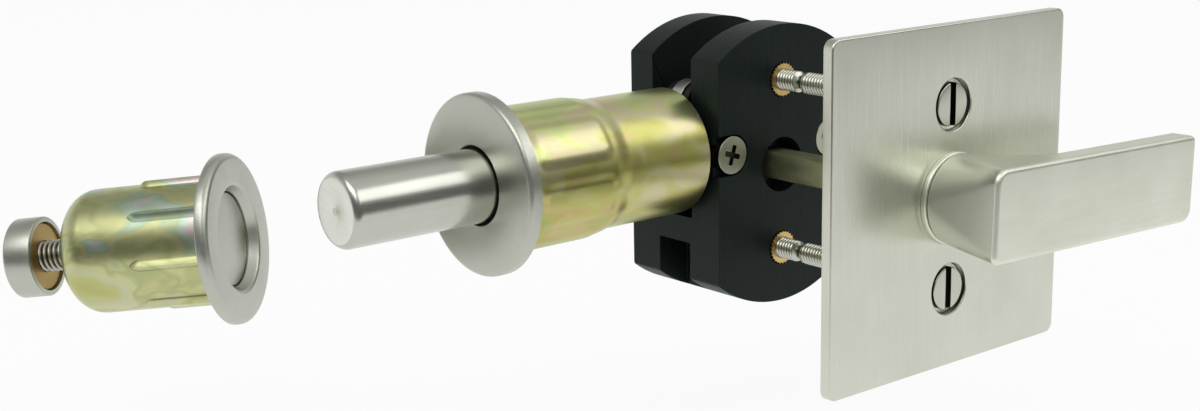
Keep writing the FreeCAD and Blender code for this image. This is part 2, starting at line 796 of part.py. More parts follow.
def lock_body():
    """Moulded black block that fills the cross bore: two slabs above, one solid foot below."""
    body = new_body("lock_body")
    radius = size.body_diameter / 2
    disc = new_sketch(body, "XZ_Plane", "lock_body_disc")
    circle(disc, 0, 0, radius)
    pad(body, disc, size.body_depth, both_sides=True)
    flat = new_sketch(body, "XZ_Plane", "lock_body_flat")
    rectangle(flat, -size.body_diameter, -size.body_diameter, -size.body_flat, size.body_diameter)
    pocket(body, flat, size.body_depth * 2, both_sides=True)
    corner_up = math.sqrt(radius.value**2 - size.body_flat.value**2)

    def is_flat_corner(edge):
        middle = edge.BoundBox.Center
        upright = edge.BoundBox.XLength < NEAR and edge.BoundBox.ZLength < NEAR
        return upright and abs(abs(middle.z) - corner_up) < NEAR

    soften(body, is_flat_corner, size.body_edge_round)
    slot = new_sketch(body, "YZ_Plane", "lock_body_slot", lift=-size.body_diameter)
    rectangle(slot, -size.slot_front, -size.slot_floor, size.slot_rear, size.body_diameter)
    pocket(body, slot, size.body_diameter * 2, reverse=True)
    notch = new_sketch(body, "YZ_Plane", "lock_body_notch", lift=size.notch_depth - size.body_flat)
    rectangle(notch, -size.notch_front, -size.body_diameter, size.notch_rear, -size.notch_top)
    pocket(body, notch, size.body_diameter)
    bore = new_sketch(body, "XZ_Plane", "lock_body_hub_bore")
    circle(bore, 0, 0, size.hub_bore_diameter / 2)
    pocket(body, bore, size.body_depth * 2, both_sides=True)
    seats = new_sketch(body, "XZ_Plane", "lock_body_insert_seats", lift=half_body)
    for side in (1, -1):
        circle(seats, 0, side * insert_offset, size.insert_diameter / 2 + size.seat_clearance)
    pocket(body, seats, size.insert_length - size.insert_proud)
    hole_radius = clamp_radius + size.clamp_hole_clearance
    recess_radius = size.clamp_recess_diameter / 2
    bites = new_sketch(body, "XZ_Plane", "lock_body_clamp_holes", lift=half_body)
    for side in (1, -1):
        circle(bites, side * size.clamp_offset, size.bolt_above_hub, clamp_radius + size.thread_clearance)
    pocket(body, bites, half_body + size.slot_rear + size.clamp_bite)
    for radius, depth in (
        (recess_radius, size.clamp_recess_depth),
        (hole_radius, half_body - size.slot_front),
    ):
        for side in (1, -1):
            seat = new_sketch(body, "XZ_Plane", "lock_body_clamp_seat", lift=half_body)
            circle(seat, side * size.clamp_offset, size.bolt_above_hub, radius)
            pocket(body, seat, depth)
        mouth = new_sketch(body, "XZ_Plane", "lock_body_clamp_mouth", lift=half_body)
        low, high = size.bolt_above_hub - radius, size.bolt_above_hub + radius
        rectangle(mouth, -size.body_flat * 2, low, -size.clamp_offset, high)
        pocket(body, mouth, depth)
    place_on_hub(body)
    return body


def clamp_screw(name, side):
    """Flat-headed screw with a cross recess, through the front slab into the rear one."""
    body = new_body(name)
    seat = half_body - size.clamp_recess_depth
    reach = size.slot_rear + size.clamp_bite - size.blind_gap
    shank = new_sketch(body, "XZ_Plane", f"{name}_shank", lift=-reach)
    circle(shank, 0, 0, clamp_radius)
    pad(body, shank, seat + reach)
    head = new_sketch(body, "XZ_Plane", f"{name}_head", lift=seat)
    circle(head, 0, 0, size.clamp_head_diameter / 2)
    pad(body, head, size.clamp_head_height)
    top = seat + size.clamp_head_height
    long, short = size.cross_span / 2, size.cross_width / 2
    for across, up in ((long, short), (short, long)):
        recess = new_sketch(body, "XZ_Plane", f"{name}_recess", lift=top)
        rectangle(recess, -across, -up, across, up)
        pocket(body, recess, size.cross_depth)
    place(body, size.backset + side * size.clamp_offset, 0.0, 0.0)
    return body


def insert(name, side):
    """Knurled brass insert, moulded into the front slab for a trim screw."""
    body = new_body(name)
    front = half_body + size.insert_proud
    root = size.insert_diameter / 2 - size.knurl_depth
    barrel = new_sketch(body, "XZ_Plane", f"{name}_barrel", lift=front - size.insert_length)
    circle(barrel, 0, 0, root)
    pad(body, barrel, size.insert_length)
    half_tooth = math.pi * root / size.knurl_count * size.knurl_fill
    tooth = new_sketch(body, "XZ_Plane", f"{name}_tooth", lift=front - size.insert_length)
    outline(tooth, [
        (-half_tooth, root - size.knurl_depth),
        (half_tooth, root - size.knurl_depth),
        (0, size.insert_diameter / 2),
    ])
    teeth = pad(body, tooth, size.insert_length)
    ring_of(body, teeth, size.knurl_count, "Y_Axis")
    bore = new_sketch(body, "XZ_Plane", f"{name}_bore", lift=front)
    circle(bore, 0, 0, screw_radius + size.thread_clearance)
    pocket(body, bore, size.insert_length * 2)
    place_on_hub(body, side * insert_offset)
    return body


def trim_screw(name, side):
    """Slotted machine screw from the trim plate to its insert, with break-off grooves."""
    body = new_body(name)
    under_head = plate_front - size.counterbore_depth
    tip = half_body - size.trim_screw_bite
    bevel = size.break_groove_depth
    neck = screw_radius - size.break_groove_depth
    flank = size.break_groove_flank
    corners = [(0, -tip), (screw_radius - bevel, -tip), (screw_radius, -tip - bevel)]
    for step in range(int(size.break_groove_count.value)):
        start = half_body + size.break_groove_start + size.break_groove_pitch * step
        corners += [
            (screw_radius, -start),
            (neck, -start - flank),
            (neck, -start - size.break_groove_width + flank),
            (screw_radius, -start - size.break_groove_width),
        ]
    head_radius = size.screw_head_diameter / 2
    corners += [
        (screw_radius, -under_head),
        (head_radius, -under_head),
        (head_radius, -under_head - size.screw_head_height),
        (0, -under_head - size.screw_head_height),
    ]
    sketch = new_sketch(body, "XY_Plane", f"{name}_section")
    outline(sketch, corners)
    turned(body, sketch, "V_Axis")
    slot = new_sketch(body, "XZ_Plane", f"{name}_slot", lift=under_head + size.screw_head_height)
    rectangle(slot, -size.screw_slot_width / 2, -head_radius, size.screw_slot_width / 2, head_radius)
    pocket(body, slot, size.screw_slot_depth)
    place_on_hub(body, side * insert_offset)
    return body


def trim_plate():
    """Square satin plate with a hole for the lever's shank and two counterbored screw holes."""
    body = new_body("trim_plate")
    half = size.plate_side / 2
    sketch = new_sketch(body, "XZ_Plane", "trim_plate_blank", lift=plate_back)
    rectangle(sketch, -half, -half, half, half)
    pad(body, sketch, size.plate_thickness)

    def is_corner(edge):
        box = edge.BoundBox
        return box.XLength < NEAR and box.ZLength < NEAR

    soften(body, is_corner, size.plate_corner)

    def is_front_edge(edge):
        box = edge.BoundBox
        return box.YLength < NEAR and abs(box.YMin + plate_front.value) < NEAR

    soften(body, is_front_edge, size.plate_edge_round)
    holes = new_sketch(body, "XZ_Plane", "trim_plate_holes", lift=plate_front)
    circle(holes, 0, 0, shank_radius + size.lever_running_gap)
    for side in (1, -1):
        circle(holes, 0, side * insert_offset, screw_radius + size.screw_hole_clearance)
    pocket(body, holes, size.plate_thickness * 2)
    bores = new_sketch(body, "XZ_Plane", "trim_plate_counterbores", lift=plate_front)
    for side in (1, -1):
        circle(bores, 0, side * insert_offset, size.counterbore_diameter / 2)
    pocket(body, bores, size.counterbore_depth)
    place_on_hub(body)
    return body


def drive_hub():
    """Hub that turns in the slabs, with a slotted arm that moves the follower pin."""
    body = new_body("drive_hub")
    journal = size.hub_bore_diameter / 2 - size.hub_clearance
    disc = size.hub_disc_diameter / 2
    front, rear = half_body - size.hub_face_inset, half_body - size.spindle_rear_inset
    near, far = size.slot_front - size.hub_side_gap, size.slot_rear - size.hub_side_gap
    sketch = new_sketch(body, "XY_Plane", "drive_hub_section")
    outline(sketch, [
        (0, -front),
        (journal, -front),
        (journal, -near),
        (disc, -near),
        (disc, far),
        (journal, far),
        (journal, rear),
        (0, rear),
    ])
    turned(body, sketch, "V_Axis")
    half_swing = size.lever_swing / 2
    drop = size.bolt_throw / 2 / tangent_of(half_swing)
    slot_end = drop / cosine_of(half_swing) + follower_radius + size.arm_slot_end_gap
    slot_start = drop - follower_radius - size.arm_slot_end_gap
    tip_centre = slot_end + size.arm_tip_wall - size.arm_half_width
    slot_half = follower_radius + size.arm_slot_clearance
    blade = new_sketch(body, "XZ_Plane", "drive_hub_arm", turn=half_swing)
    rectangle(blade, -size.arm_half_width, 0, size.arm_half_width, tip_centre)
    pad(body, blade, size.arm_thickness, both_sides=True)
    tip = new_sketch(body, "XZ_Plane", "drive_hub_arm_tip", turn=half_swing)
    circle(tip, 0, tip_centre, size.arm_half_width)
    pad(body, tip, size.arm_thickness, both_sides=True)
    low, high = slot_start + slot_half, slot_end - slot_half
    slot = new_sketch(body, "XZ_Plane", "drive_hub_arm_slot", turn=half_swing)
    rectangle(slot, -slot_half, low, slot_half, high)
    pocket(body, slot, size.arm_thickness * 2, both_sides=True)
    for middle in (low, high):
        slot_end_round = new_sketch(body, "XZ_Plane", "drive_hub_arm_slot_end", turn=half_swing)
        circle(slot_end_round, 0, middle, slot_half)
        pocket(body, slot_end_round, size.arm_thickness * 2, both_sides=True)
    square = new_sketch(body, "XZ_Plane", "drive_hub_square", lift=half_body)
    rectangle(square, -bore_side / 2, -bore_side / 2, bore_side / 2, bore_side / 2)
    pocket(body, square, size.body_depth)
    place_on_hub(body)
    return body


def spindle():
    """Square steel spindle from the lever to the hub."""
    body = new_body("spindle")
    half = size.spindle_side / 2
    rear = half_body - size.spindle_rear_inset * 2
    sketch = new_sketch(body, "XZ_Plane", "spindle_section", lift=-rear)
    rectangle(sketch, -half, -half, half, half)
    pad(body, sketch, rear + plate_back - shank_length + size.spindle_grip)
    place_on_hub(body)
    return body


def lever():
    """Cast lever: shank, round neck that flares into a flat bar, square bore for the spindle.

    Its bar hangs a little below level at rest, in its play.
    """
    body = new_body("lever")
    half = size.lever_height / 2
    neck = size.lever_neck_diameter / 2
    face = neck_start + size.lever_face_reach
    bar_back = face - size.lever_thickness
    flare_width = size.lever_throat_round
    flare_start = bar_back - flare_width
    tail_lower, tail_upper = size.lever_tail_lower_round, size.lever_tail_upper_round
    end_lower, end_upper = size.lever_end_lower_round, size.lever_end_upper_round
    block = new_sketch(body, "XZ_Plane", "lever_block", lift=neck_start, turn=-size.lever_droop)
    rounded_rectangle(
        block, -size.lever_tail, -half, neck + flare_width, half, (tail_lower, None, None, tail_upper)
    )
    pad(body, block, size.lever_face_reach)
    flare = new_sketch(body, "XY_Plane", "lever_flare")
    outline(
        flare,
        [
            (neck, -neck_start + size.lever_edge_round),
            (neck, -flare_start),
            (neck + flare_width, -bar_back),
            (size.lever_length, -bar_back),
            (size.lever_length, -neck_start + size.lever_edge_round),
        ],
        bows={1: ((neck + flare_width, -flare_start), flare_width)},
    )
    turned(body, flare, "V_Axis", "Groove")
    bar = new_sketch(body, "XZ_Plane", "lever_bar", lift=bar_back, turn=-size.lever_droop)
    rounds = (tail_lower, end_lower, end_upper, tail_upper)
    rounded_rectangle(bar, -size.lever_tail, -half, size.lever_length, half, rounds)
    pad(body, bar, size.lever_thickness)

    def is_face_edge(edge):
        box = edge.BoundBox
        return box.YLength < NEAR and abs(box.YMin + face.value) < NEAR

    soften(body, is_face_edge, size.lever_edge_round)
    shank = new_sketch(body, "XZ_Plane", "lever_shank", lift=plate_back - shank_length)
    circle(shank, 0, 0, shank_radius)
    pad(body, shank, neck_start - plate_back + shank_length)
    groove = new_sketch(body, "XY_Plane", "lever_ring_groove")
    rectangle(
        groove,
        shank_radius - size.ring_groove_depth,
        -ring_front,
        size.lever_neck_diameter,
        -ring_front + size.lever_side_gap + size.ring_thickness,
    )
    turned(body, groove, "V_Axis", "Groove")
    square = new_sketch(body, "XZ_Plane", "lever_square", lift=plate_back - shank_length)
    rectangle(square, -bore_side / 2, -bore_side / 2, bore_side / 2, bore_side / 2)
    pocket(body, square, size.spindle_grip + size.spindle_clearance, reverse=True)
    place_on_hub(body)
    return body


def flat_ring(name, inner, outer, front, thickness):
    """A plain ring on the lever's axis, from its front face towards the door."""
    body = new_body(name)
    sketch = new_sketch(body, "XY_Plane", f"{name}_section")
    rectangle(sketch, inner, -front, outer, -front + thickness)
    turned(body, sketch, "V_Axis")
    place_on_hub(body)
    return body


def lever_collar():
    return flat_ring(
        "lever_collar",
        shank_radius + size.lever_running_gap,
        size.lever_collar_diameter / 2,
        plate_front + size.lever_collar_thickness,
        size.lever_collar_thickness,
    )


def lever_washer():
    return flat_ring(
        "lever_washer",
        shank_radius + size.lever_running_gap,
        size.washer_diameter / 2,
        plate_back,
        size.washer_thickness,
    )


def lever_ring():
    """Open retaining ring that snaps into the shank's groove behind the washer."""
    body = flat_ring(
        "lever_ring",
        shank_radius - size.ring_groove_depth + size.seat_clearance,
        size.ring_diameter / 2,
        ring_front,
        size.ring_thickness,
    )
    opening = new_sketch(body, "XZ_Plane", "lever_ring_opening", lift=plate_back)
    rectangle(opening, -size.ring_thickness, -size.ring_diameter, size.ring_thickness, 0)
    pocket(body, opening, size.body_depth)
    return body


def strike_flange():
    """Satin flange of the strike, whose dished lip nests in the cup's mouth."""
    body = new_body("strike_flange")
    outer, mouth = size.strike_flange_diameter / 2, size.strike_hole_diameter / 2
    lip = size.strike_lip_diameter / 2
    lip_outer = cup_radius - size.cup_wall - size.strike_lip_gap
    seat = cup_radius + size.rib_height + size.seat_clearance
    front, floor, rim = size.strike_flange_thickness, size.strike_seat_depth, size.strike_rim_round
    sketch = new_sketch(body, "XY_Plane", "strike_flange_section")
    outline(
        sketch,
        [
            (0, seat),
            (0, outer),
            (front - rim, outer),
            (front, outer - rim),
            (front, lip),
            (front - size.strike_dish_depth, mouth),
            (-size.strike_lip_reach, mouth),
            (-size.strike_lip_reach, lip_outer),
            (floor, lip_outer),
            (floor, seat),
        ],
        bows={2: ((front - rim, outer - rim), rim)},
    )
    turned(body, sketch, "H_Axis")
    place_strike(body)
    return body


def strike_cup():
    """Drawn steel cup with a domed rear and eight pressed ribs, open towards the bolt."""
    body = new_body("strike_cup")
    inner = cup_radius - size.cup_wall
    bend = size.cup_corner - size.cup_wall
    hole = size.stud_diameter / 2 + size.stud_clearance
    front = size.strike_seat_depth
    sketch = new_sketch(body, "XY_Plane", "strike_cup_section")
    outline(
        sketch,
        [
            (front, inner),
            (front, cup_radius),
            (-(size.cup_length - size.cup_corner), cup_radius),
            (-size.cup_length, cup_radius - size.cup_corner),
            (-size.cup_length, hole),
            (-cup_floor, hole),
            (-cup_floor, inner - bend),
            (-(cup_floor - bend), inner),
        ],
        bows={
            2: ((-(size.cup_length - size.cup_corner), cup_radius - size.cup_corner), size.cup_corner),
            6: ((-(cup_floor - bend), inner - bend), bend),
        },
    )
    turned(body, sketch, "H_Axis")
    sunk = size.rib_sunk
    rib_radius = size.rib_height + sunk
    rib = new_rolled_sketch(body, "strike_cup_rib", size.rib_turn, cup_radius - sunk)
    outline(rib, [
        (0, 0),
        (0, rib_radius),
        (-(size.rib_length - size.rib_point), rib_radius),
        (-size.rib_length, 0),
    ])
    press = turned(body, rib, "H_Axis")
    ring_of(body, press, size.rib_count, "X_Axis")
    bore = new_sketch(body, "YZ_Plane", "strike_cup_bore", lift=front)
    circle(bore, 0, 0, inner)
    pocket(body, bore, front + size.rib_length)
    place_strike(body)
    return body


def strike_plunger():
    """Sprung dust cover in the strike's mouth, which the bolt pushes in."""
    body = new_body("strike_plunger")
    front = size.strike_flange_thickness - size.plunger_recess
    rim = size.plunger_rim_diameter / 2
    skirt_end = plunger_back - size.plunger_skirt_length
    sketch = new_sketch(body, "XY_Plane", "strike_plunger_section")
    outline(sketch, [
        (front, 0),
        (front, size.plunger_diameter / 2),
        (behind_lip, size.plunger_diameter / 2),
        (behind_lip, rim),
        (skirt_end, rim),
        (skirt_end, rim - size.plunger_wall),
        (plunger_back, rim - size.plunger_wall),
        (plunger_back, 0),
    ])
    turned(body, sketch, "H_Axis")
    place_strike(body)
    return body


def plunger_spring():
    """Coil spring between the plunger and the cup's floor."""
    body = new_body("plunger_spring")
    wire = size.spring_wire / 2
    sketch = new_sketch(body, "XY_Plane", "plunger_spring_wire")
    circle(sketch, -cup_floor + wire, size.spring_diameter / 2, wire)
    coil = body.newObject("PartDesign::AdditiveHelix", "plunger_spring_coil")
    coil.Profile = sketch
    coil.ReferenceAxis = (sketch, ["H_Axis"])
    coil.Mode = "height-turns-angle"
    bind(coil, "Height", cup_floor + plunger_back - size.spring_wire)
    bind(coil, "Turns", size.spring_turns)
    body.Tip = coil
    doc.recompute()
    place_strike(body)
    return body


def strike_stud():
    """Headed stud through the cup's floor, which carries the cap nut behind it."""
    body = new_body("strike_stud")
    end = cap_front + size.cap_length - size.cap_wall * 2
    radius = size.stud_diameter / 2
    sketch = new_sketch(body, "XY_Plane", "strike_stud_section")
    outline(sketch, [
        (-end, 0),
        (-end, radius),
        (-cup_floor, radius),
        (-cup_floor, size.stud_head_diameter / 2),
        (-cup_floor + size.stud_head_height, size.stud_head_diameter / 2),
        (-cup_floor + size.stud_head_height, 0),
    ])
    turned(body, sketch, "H_Axis")
    place_strike(body)
    return body


def cap_nut():
    """Turned satin cap that closes the strike's rear end."""
    body = new_body("cap_nut")
    outer = size.cap_diameter / 2
    rear = cap_front + size.cap_length
    sketch = new_sketch(body, "XY_Plane", "cap_nut_section")
    outline(sketch, [
        (-cap_front, outer - size.cap_wall),
        (-cap_front, outer),
        (-rear, outer),
        (-rear, 0),
        (-rear + size.cap_wall, 0),
        (-rear + size.cap_wall, outer - size.cap_wall),
    ])
    turned(body, sketch, "H_Axis")
    place_strike(body)
    return body


def cap_core():
    """Brass core of the cap, tapped for the stud."""
    body = new_body("cap_core")
    front = cap_front + size.cap_core_recess
    rear = cap_front + size.cap_length - size.cap_wall - size.seat_clearance
    outer = size.cap_diameter / 2 - size.cap_wall - size.seat_clearance
    sketch = new_sketch(body, "XY_Plane", "cap_core_section")
    rectangle(sketch, -rear, size.stud_diameter / 2 + size.thread_clearance, -front, outer)
    turned(body, sketch, "H_Axis")
    place_strike(body)
    return body


parts = [
    bolt_rod(),
    bolt_guide(),
    guide_pin(),
    tail_straps(),
    tail_rivets(),
    tail_pin(),
    bolt_rose(),
    bolt_sleeve(),
    front_bush(),
    sleeve_yoke(),
    lock_body(),
    clamp_screw("clamp_screw_left", -1),
    clamp_screw("clamp_screw_right", 1),
    insert("insert_upper", 1),
    insert("insert_lower", -1),
    trim_screw("trim_screw_upper", 1),
    trim_screw("trim_screw_lower", -1),
    trim_plate(),
    drive_hub(),
    spindle(),
    lever(),
    lever_collar(),
    lever_washer(),
    lever_ring(),
    strike_flange(),
    strike_cup(),
    strike_plunger(),
    plunger_spring(),
    strike_stud(),
    cap_nut(),
    cap_core(),
]

doc.recompute()
faults = []
for item in doc.Objects:
    if {"Invalid", "Error"} & set(item.State):
        faults.append(f"{item.Label}: {item.State}")
for body in parts:
    if body.Shape.isNull() or not body.Shape.isValid():
        faults.append(f"{body.Label}: its shape is not valid")
if faults:
    raise RuntimeError("; ".join(faults))

os.makedirs("parts", exist_ok=True)
for body in parts:
    body.Shape.exportStep(os.path.join("parts", f"{body.Label}.step"))
    print(body.Label, len(body.Shape.Solids), round(body.Shape.Volume, 2))
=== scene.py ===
import json
import math

import bmesh
import bpy
from mathutils import Matrix, Vector


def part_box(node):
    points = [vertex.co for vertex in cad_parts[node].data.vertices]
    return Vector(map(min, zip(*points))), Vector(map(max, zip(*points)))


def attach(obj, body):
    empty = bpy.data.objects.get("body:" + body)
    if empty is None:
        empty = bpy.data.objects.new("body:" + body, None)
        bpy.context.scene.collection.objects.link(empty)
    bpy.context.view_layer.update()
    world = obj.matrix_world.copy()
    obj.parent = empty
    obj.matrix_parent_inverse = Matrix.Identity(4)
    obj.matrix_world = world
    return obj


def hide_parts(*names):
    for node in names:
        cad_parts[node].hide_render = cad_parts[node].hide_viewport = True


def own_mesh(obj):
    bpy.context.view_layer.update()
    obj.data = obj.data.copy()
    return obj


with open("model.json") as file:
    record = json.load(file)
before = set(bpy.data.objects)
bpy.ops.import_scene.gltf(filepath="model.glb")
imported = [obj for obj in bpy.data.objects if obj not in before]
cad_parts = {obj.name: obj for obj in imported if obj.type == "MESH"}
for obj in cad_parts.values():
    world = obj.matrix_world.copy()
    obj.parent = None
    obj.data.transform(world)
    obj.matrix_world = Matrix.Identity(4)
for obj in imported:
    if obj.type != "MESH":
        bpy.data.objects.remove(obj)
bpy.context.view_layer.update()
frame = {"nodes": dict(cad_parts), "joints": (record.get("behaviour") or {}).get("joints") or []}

MM = 0.001

# Bolt rod. A turned stainless rod, 13 mm across, with a rounded nose and the small
# centre mark that the lathe leaves. It is satin polished, and its faced end has a finer
# grain and a painted highlight: a brighter copy of the steel.

bolt_low, bolt_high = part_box("bolt_rod")
bolt_radius = bolt_high.z
nose_round = 1.4 * MM
mark_radius = 0.7 * MM
mark_depth = 0.22 * MM


def seat_on(point, direction):
    """The place of a piece whose own Z axis is to point along the direction."""
    turn = Vector(direction).to_track_quat("Z", "Y").to_matrix().to_4x4()
    return Matrix.Translation(Vector(point)) @ turn


def quarter(centre_along, centre_out, radius, start, end, steps=6):
    """Points of a small round on a turned profile, from one angle to the other in degrees."""
    points = []
    for i in range(steps + 1):
        angle = math.radians(start + (end - start) * i / steps)
        along = centre_along + radius * math.sin(angle)
        points.append((along, centre_out + radius * math.cos(angle)))
    return points


def lathe(profile, place, steps=128):
    """Spins a profile of (along, out) points round the axis and puts it in place."""
    bm = bmesh.new()
    line = [bm.verts.new((out, 0, along)) for along, out in profile]
    edges = [bm.edges.new(pair) for pair in zip(line, line[1:])]
    # A profile that starts off the axis is a ring's, and closes on itself
    if profile[0][1] > 0:
        edges.append(bm.edges.new((line[-1], line[0])))
    bmesh.ops.spin(
        bm, geom=line + edges, axis=(0, 0, 1), cent=(0, 0, 0), steps=steps,
        angle=math.tau, use_merge=True, use_duplicate=False,
    )
    bmesh.ops.remove_doubles(bm, verts=bm.verts, dist=1e-7)
    bmesh.ops.recalc_face_normals(bm, faces=bm.faces)
    bmesh.ops.transform(bm, matrix=place, verts=bm.verts)
    return bm


def finish_piece(bm, name, material, body, stands_for, crease=32):
    """Makes the mesh an object, smooth but for its creases, and ties it to its body and node."""
    for face in bm.faces:
        face.smooth = True
    for edge in bm.edges:
        if len(edge.link_faces) == 2 and edge.calc_face_angle(0) > math.radians(crease):
            edge.smooth = False
    mesh = bpy.data.meshes.new(name)
    bm.to_mesh(mesh)
    bm.free()
    piece = bpy.data.objects.new(name, mesh)
    bpy.context.scene.collection.objects.link(piece)
    mesh.materials.append(material)
    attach(piece, body)
    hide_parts(stands_for)
    return piece


def new_material(name, colour, metallic, roughness):
    """A Principled material with its constants on the shader's own sockets."""
    material = bpy.data.materials.new(name)
    material.use_nodes = True
    nodes, links = material.node_tree.nodes, material.node_tree.links
    shader = nodes["Principled BSDF"]
    shader.inputs["Base Color"].default_value = (*colour, 1)
    shader.inputs["Metallic"].default_value = metallic
    shader.inputs["Roughness"].default_value = roughness
    return material, nodes, links, shader


def object_pattern(nodes, links, stretch, place=Matrix.Identity(4)):
    """Object coordinates, taken into a place of the piece and stretched for a texture."""
    coordinates = nodes.new("ShaderNodeTexCoord")
    mapping = nodes.new("ShaderNodeMapping")
    mapping.vector_type = "TEXTURE"
    mapping.inputs["Location"].default_value = place.translation
    mapping.inputs["Rotation"].default_value = place.to_euler()
    mapping.inputs["Scale"].default_value = stretch
    links.new(coordinates.outputs["Object"], mapping.inputs["Vector"])
    return mapping.outputs["Vector"]


def noise(nodes, links, vector, detail=3.0, roughness=0.5, distortion=0.0):
    """Noise whose size comes from the stretch of its coordinates."""
    texture = nodes.new("ShaderNodeTexNoise")
    texture.inputs["Scale"].default_value = 1.0
    texture.inputs["Detail"].default_value = detail
    texture.inputs["Roughness"].default_value = roughness
    texture.inputs["Distortion"].default_value = distortion
    links.new(vector, texture.inputs["Vector"])
    return texture.outputs["Fac"]


def grain(nodes, links, size, detail=3.0, roughness=0.5):
    """Noise that is the same in every way; the size is in millimetres."""
    return noise(nodes, links, object_pattern(nodes, links, (size * MM,) * 3), detail, roughness)


def spread(nodes, links, value, low, high, low_in=0.3, high_in=0.7):
    """Maps a value onto a range, and holds it there."""
    ranged = nodes.new("ShaderNodeMapRange")
    ranged.inputs["From Min"].default_value = low_in
    ranged.inputs["From Max"].default_value = high_in
    ranged.inputs["To Min"].default_value = low
    ranged.inputs["To Max"].default_value = high
    links.new(value, ranged.inputs["Value"])
    return ranged.outputs["Result"]


def bump(nodes, links, shader, height, distance):
    """Raises the surface with a height; the distance is in millimetres."""
    node = nodes.new("ShaderNodeBump")
    node.inputs["Strength"].default_value = 0.5
    node.inputs["Distance"].default_value = distance * MM
    links.new(height, node.inputs["Height"])
    links.new(node.outputs["Normal"], shader.inputs["Normal"])


def ramp(nodes, links, value, stops):
    """A colour for a value, by stops of (position, colour) in rising order."""
    colours = nodes.new("ShaderNodeValToRGB")
    elements = colours.color_ramp.elements
    while len(elements) < len(stops):
        elements.new(1.0)
    for element, (position, colour) in zip(elements, stops):
        element.position = position
        element.color = (*colour, 1)
    links.new(value, colours.inputs["Fac"])
    return colours.outputs["Color"]


def satin_metal(name, dark, light, roughness, stretch, depth=0.004):
    """Metal with fine polishing lines, drawn out along one way of the piece."""
    material, nodes, links, shader = new_material(name, light, 1.0, roughness)
    lines = noise(nodes, links, object_pattern(nodes, links, stretch), 3.0, 0.6)
    cloud = grain(nodes, links, 9, 2.0)
    links.new(ramp(nodes, links, cloud, [(0.3, dark), (0.7, light)]), shader.inputs["Base Color"])
    links.new(spread(nodes, links, lines, roughness - 0.04, roughness + 0.05), shader.inputs["Roughness"])
    bump(nodes, links, shader, lines, depth)
    return material


bolt_steel = satin_metal(
    "bolt_steel", (0.50, 0.51, 0.455), (0.55, 0.56, 0.50), 0.22, (9 * MM, 0.3 * MM, 0.3 * MM), 0.0005,
)
bolt_place = seat_on((0, 0, 0), (1, 0, 0))
bolt_profile = [
    (bolt_low.x + mark_depth, 0),
    (bolt_low.x, mark_radius),
    *quarter(bolt_low.x + nose_round, bolt_radius - nose_round, nose_round, -90, 0, 10),
    (bolt_high.x, bolt_radius),
    (bolt_high.x, 0),
]
bolt_mesh = lathe(bolt_profile, bolt_place)
bolt_mesh.normal_update()
# The end face takes the second material, a brighter steel that is a painted highlight
for face in bolt_mesh.faces:
    if face.normal.x < math.cos(math.radians(166)):
        face.material_index = 1
bolt = finish_piece(bolt_mesh, "bolt_rod_turned", bolt_steel, "bolt", "bolt_rod")
bolt.data.materials.append(satin_metal(
    "bolt_face_painted_highlight", (0.70, 0.71, 0.65), (0.76, 0.77, 0.71), 0.3, (0.6 * MM,) * 3, 0.0003,
))

# Bolt rose. A pressed satin disc, 32 mm across, that covers the sleeve's flange on the
# door's edge. Its face is flat, and its rim is a rounded bead behind a slight bevel.

rose_low, rose_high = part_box("bolt_rose")
rose_radius = rose_high.z
rose_hole = bolt_radius + 0.5 * MM
rose_skirt = rose_radius - 0.95 * MM
rose_face = rose_low.x
rose_lip = 0.3 * MM
rose_floor = -0.8 * MM
rim_width = 1.5 * MM
rim_step = 0.06 * MM
rim_slope = 0.35 * MM
bead = 0.9 * MM
flat_radius = rose_radius - rim_width
rose_steel = satin_metal(
    "rose_steel", (0.48, 0.49, 0.43), (0.53, 0.54, 0.475), 0.34, (0.6 * MM,) * 3, 0.0015,
)
rose_profile = [
    (rose_floor, rose_hole),
    *quarter(rose_face + rose_lip, rose_hole + rose_lip, rose_lip, -180, -90, 5),
    (rose_face, flat_radius),
    (rose_face + rim_step, flat_radius + rim_slope),
    *quarter(rose_face + rim_step + bead, rose_radius - bead, bead, -84, 0, 9),
    (0, rose_radius),
    (0, rose_skirt),
    (rose_floor, rose_skirt),
]
finish_piece(
    lathe(rose_profile, bolt_place, 192), "bolt_rose_pressed", rose_steel, "root",
    "bolt_rose",
)

# Bolt sleeve. Deep-drawn steel, zinc plated with a yellow iridescent chromate. Seven
# panels are pressed out of its wide front, which tapers to the rear tube.

sleeve_low, sleeve_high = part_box("bolt_sleeve")
sleeve_setback = 0.4 * MM
sleeve_end = sleeve_high.x - sleeve_setback
flange_radius = sleeve_high.z
sleeve_front = 12.5 * MM
sleeve_rear = 11.85 * MM
sleeve_wall = 1.0 * MM
taper_start = 19.4 * MM
taper_end = 23.6 * MM
PANELS = 7
panel_half_angle = math.radians(22)
panel_middle = math.radians(36.6)
panel_height = 0.3 * MM
panel_start = 2.2 * MM
panel_stop = 19.8 * MM
panel_corner = 2.6 * MM
panel_edge = 2.1 * MM
groove_depth = 0.05 * MM
lip = 0.25 * MM


def soft_step(value):
    """Rises smoothly from 0 to 1."""
    value = min(max(value, 0.0), 1.0)
    return value * value * (3 - 2 * value)


def raised_box(across, along, half_width, start, stop, corner, edge):
    """How far a point lies up the soft edge of a pressed panel with round corners."""
    middle, half_length = (start + stop) / 2, (stop - start) / 2
    over, beyond = abs(across) - half_width, abs(along - middle) - half_length
    outside = math.hypot(max(over + corner, 0), max(beyond + corner, 0)) - corner
    inside = -max(over, beyond) if max(over, beyond) < -corner else -outside
    return soft_step(inside / edge)


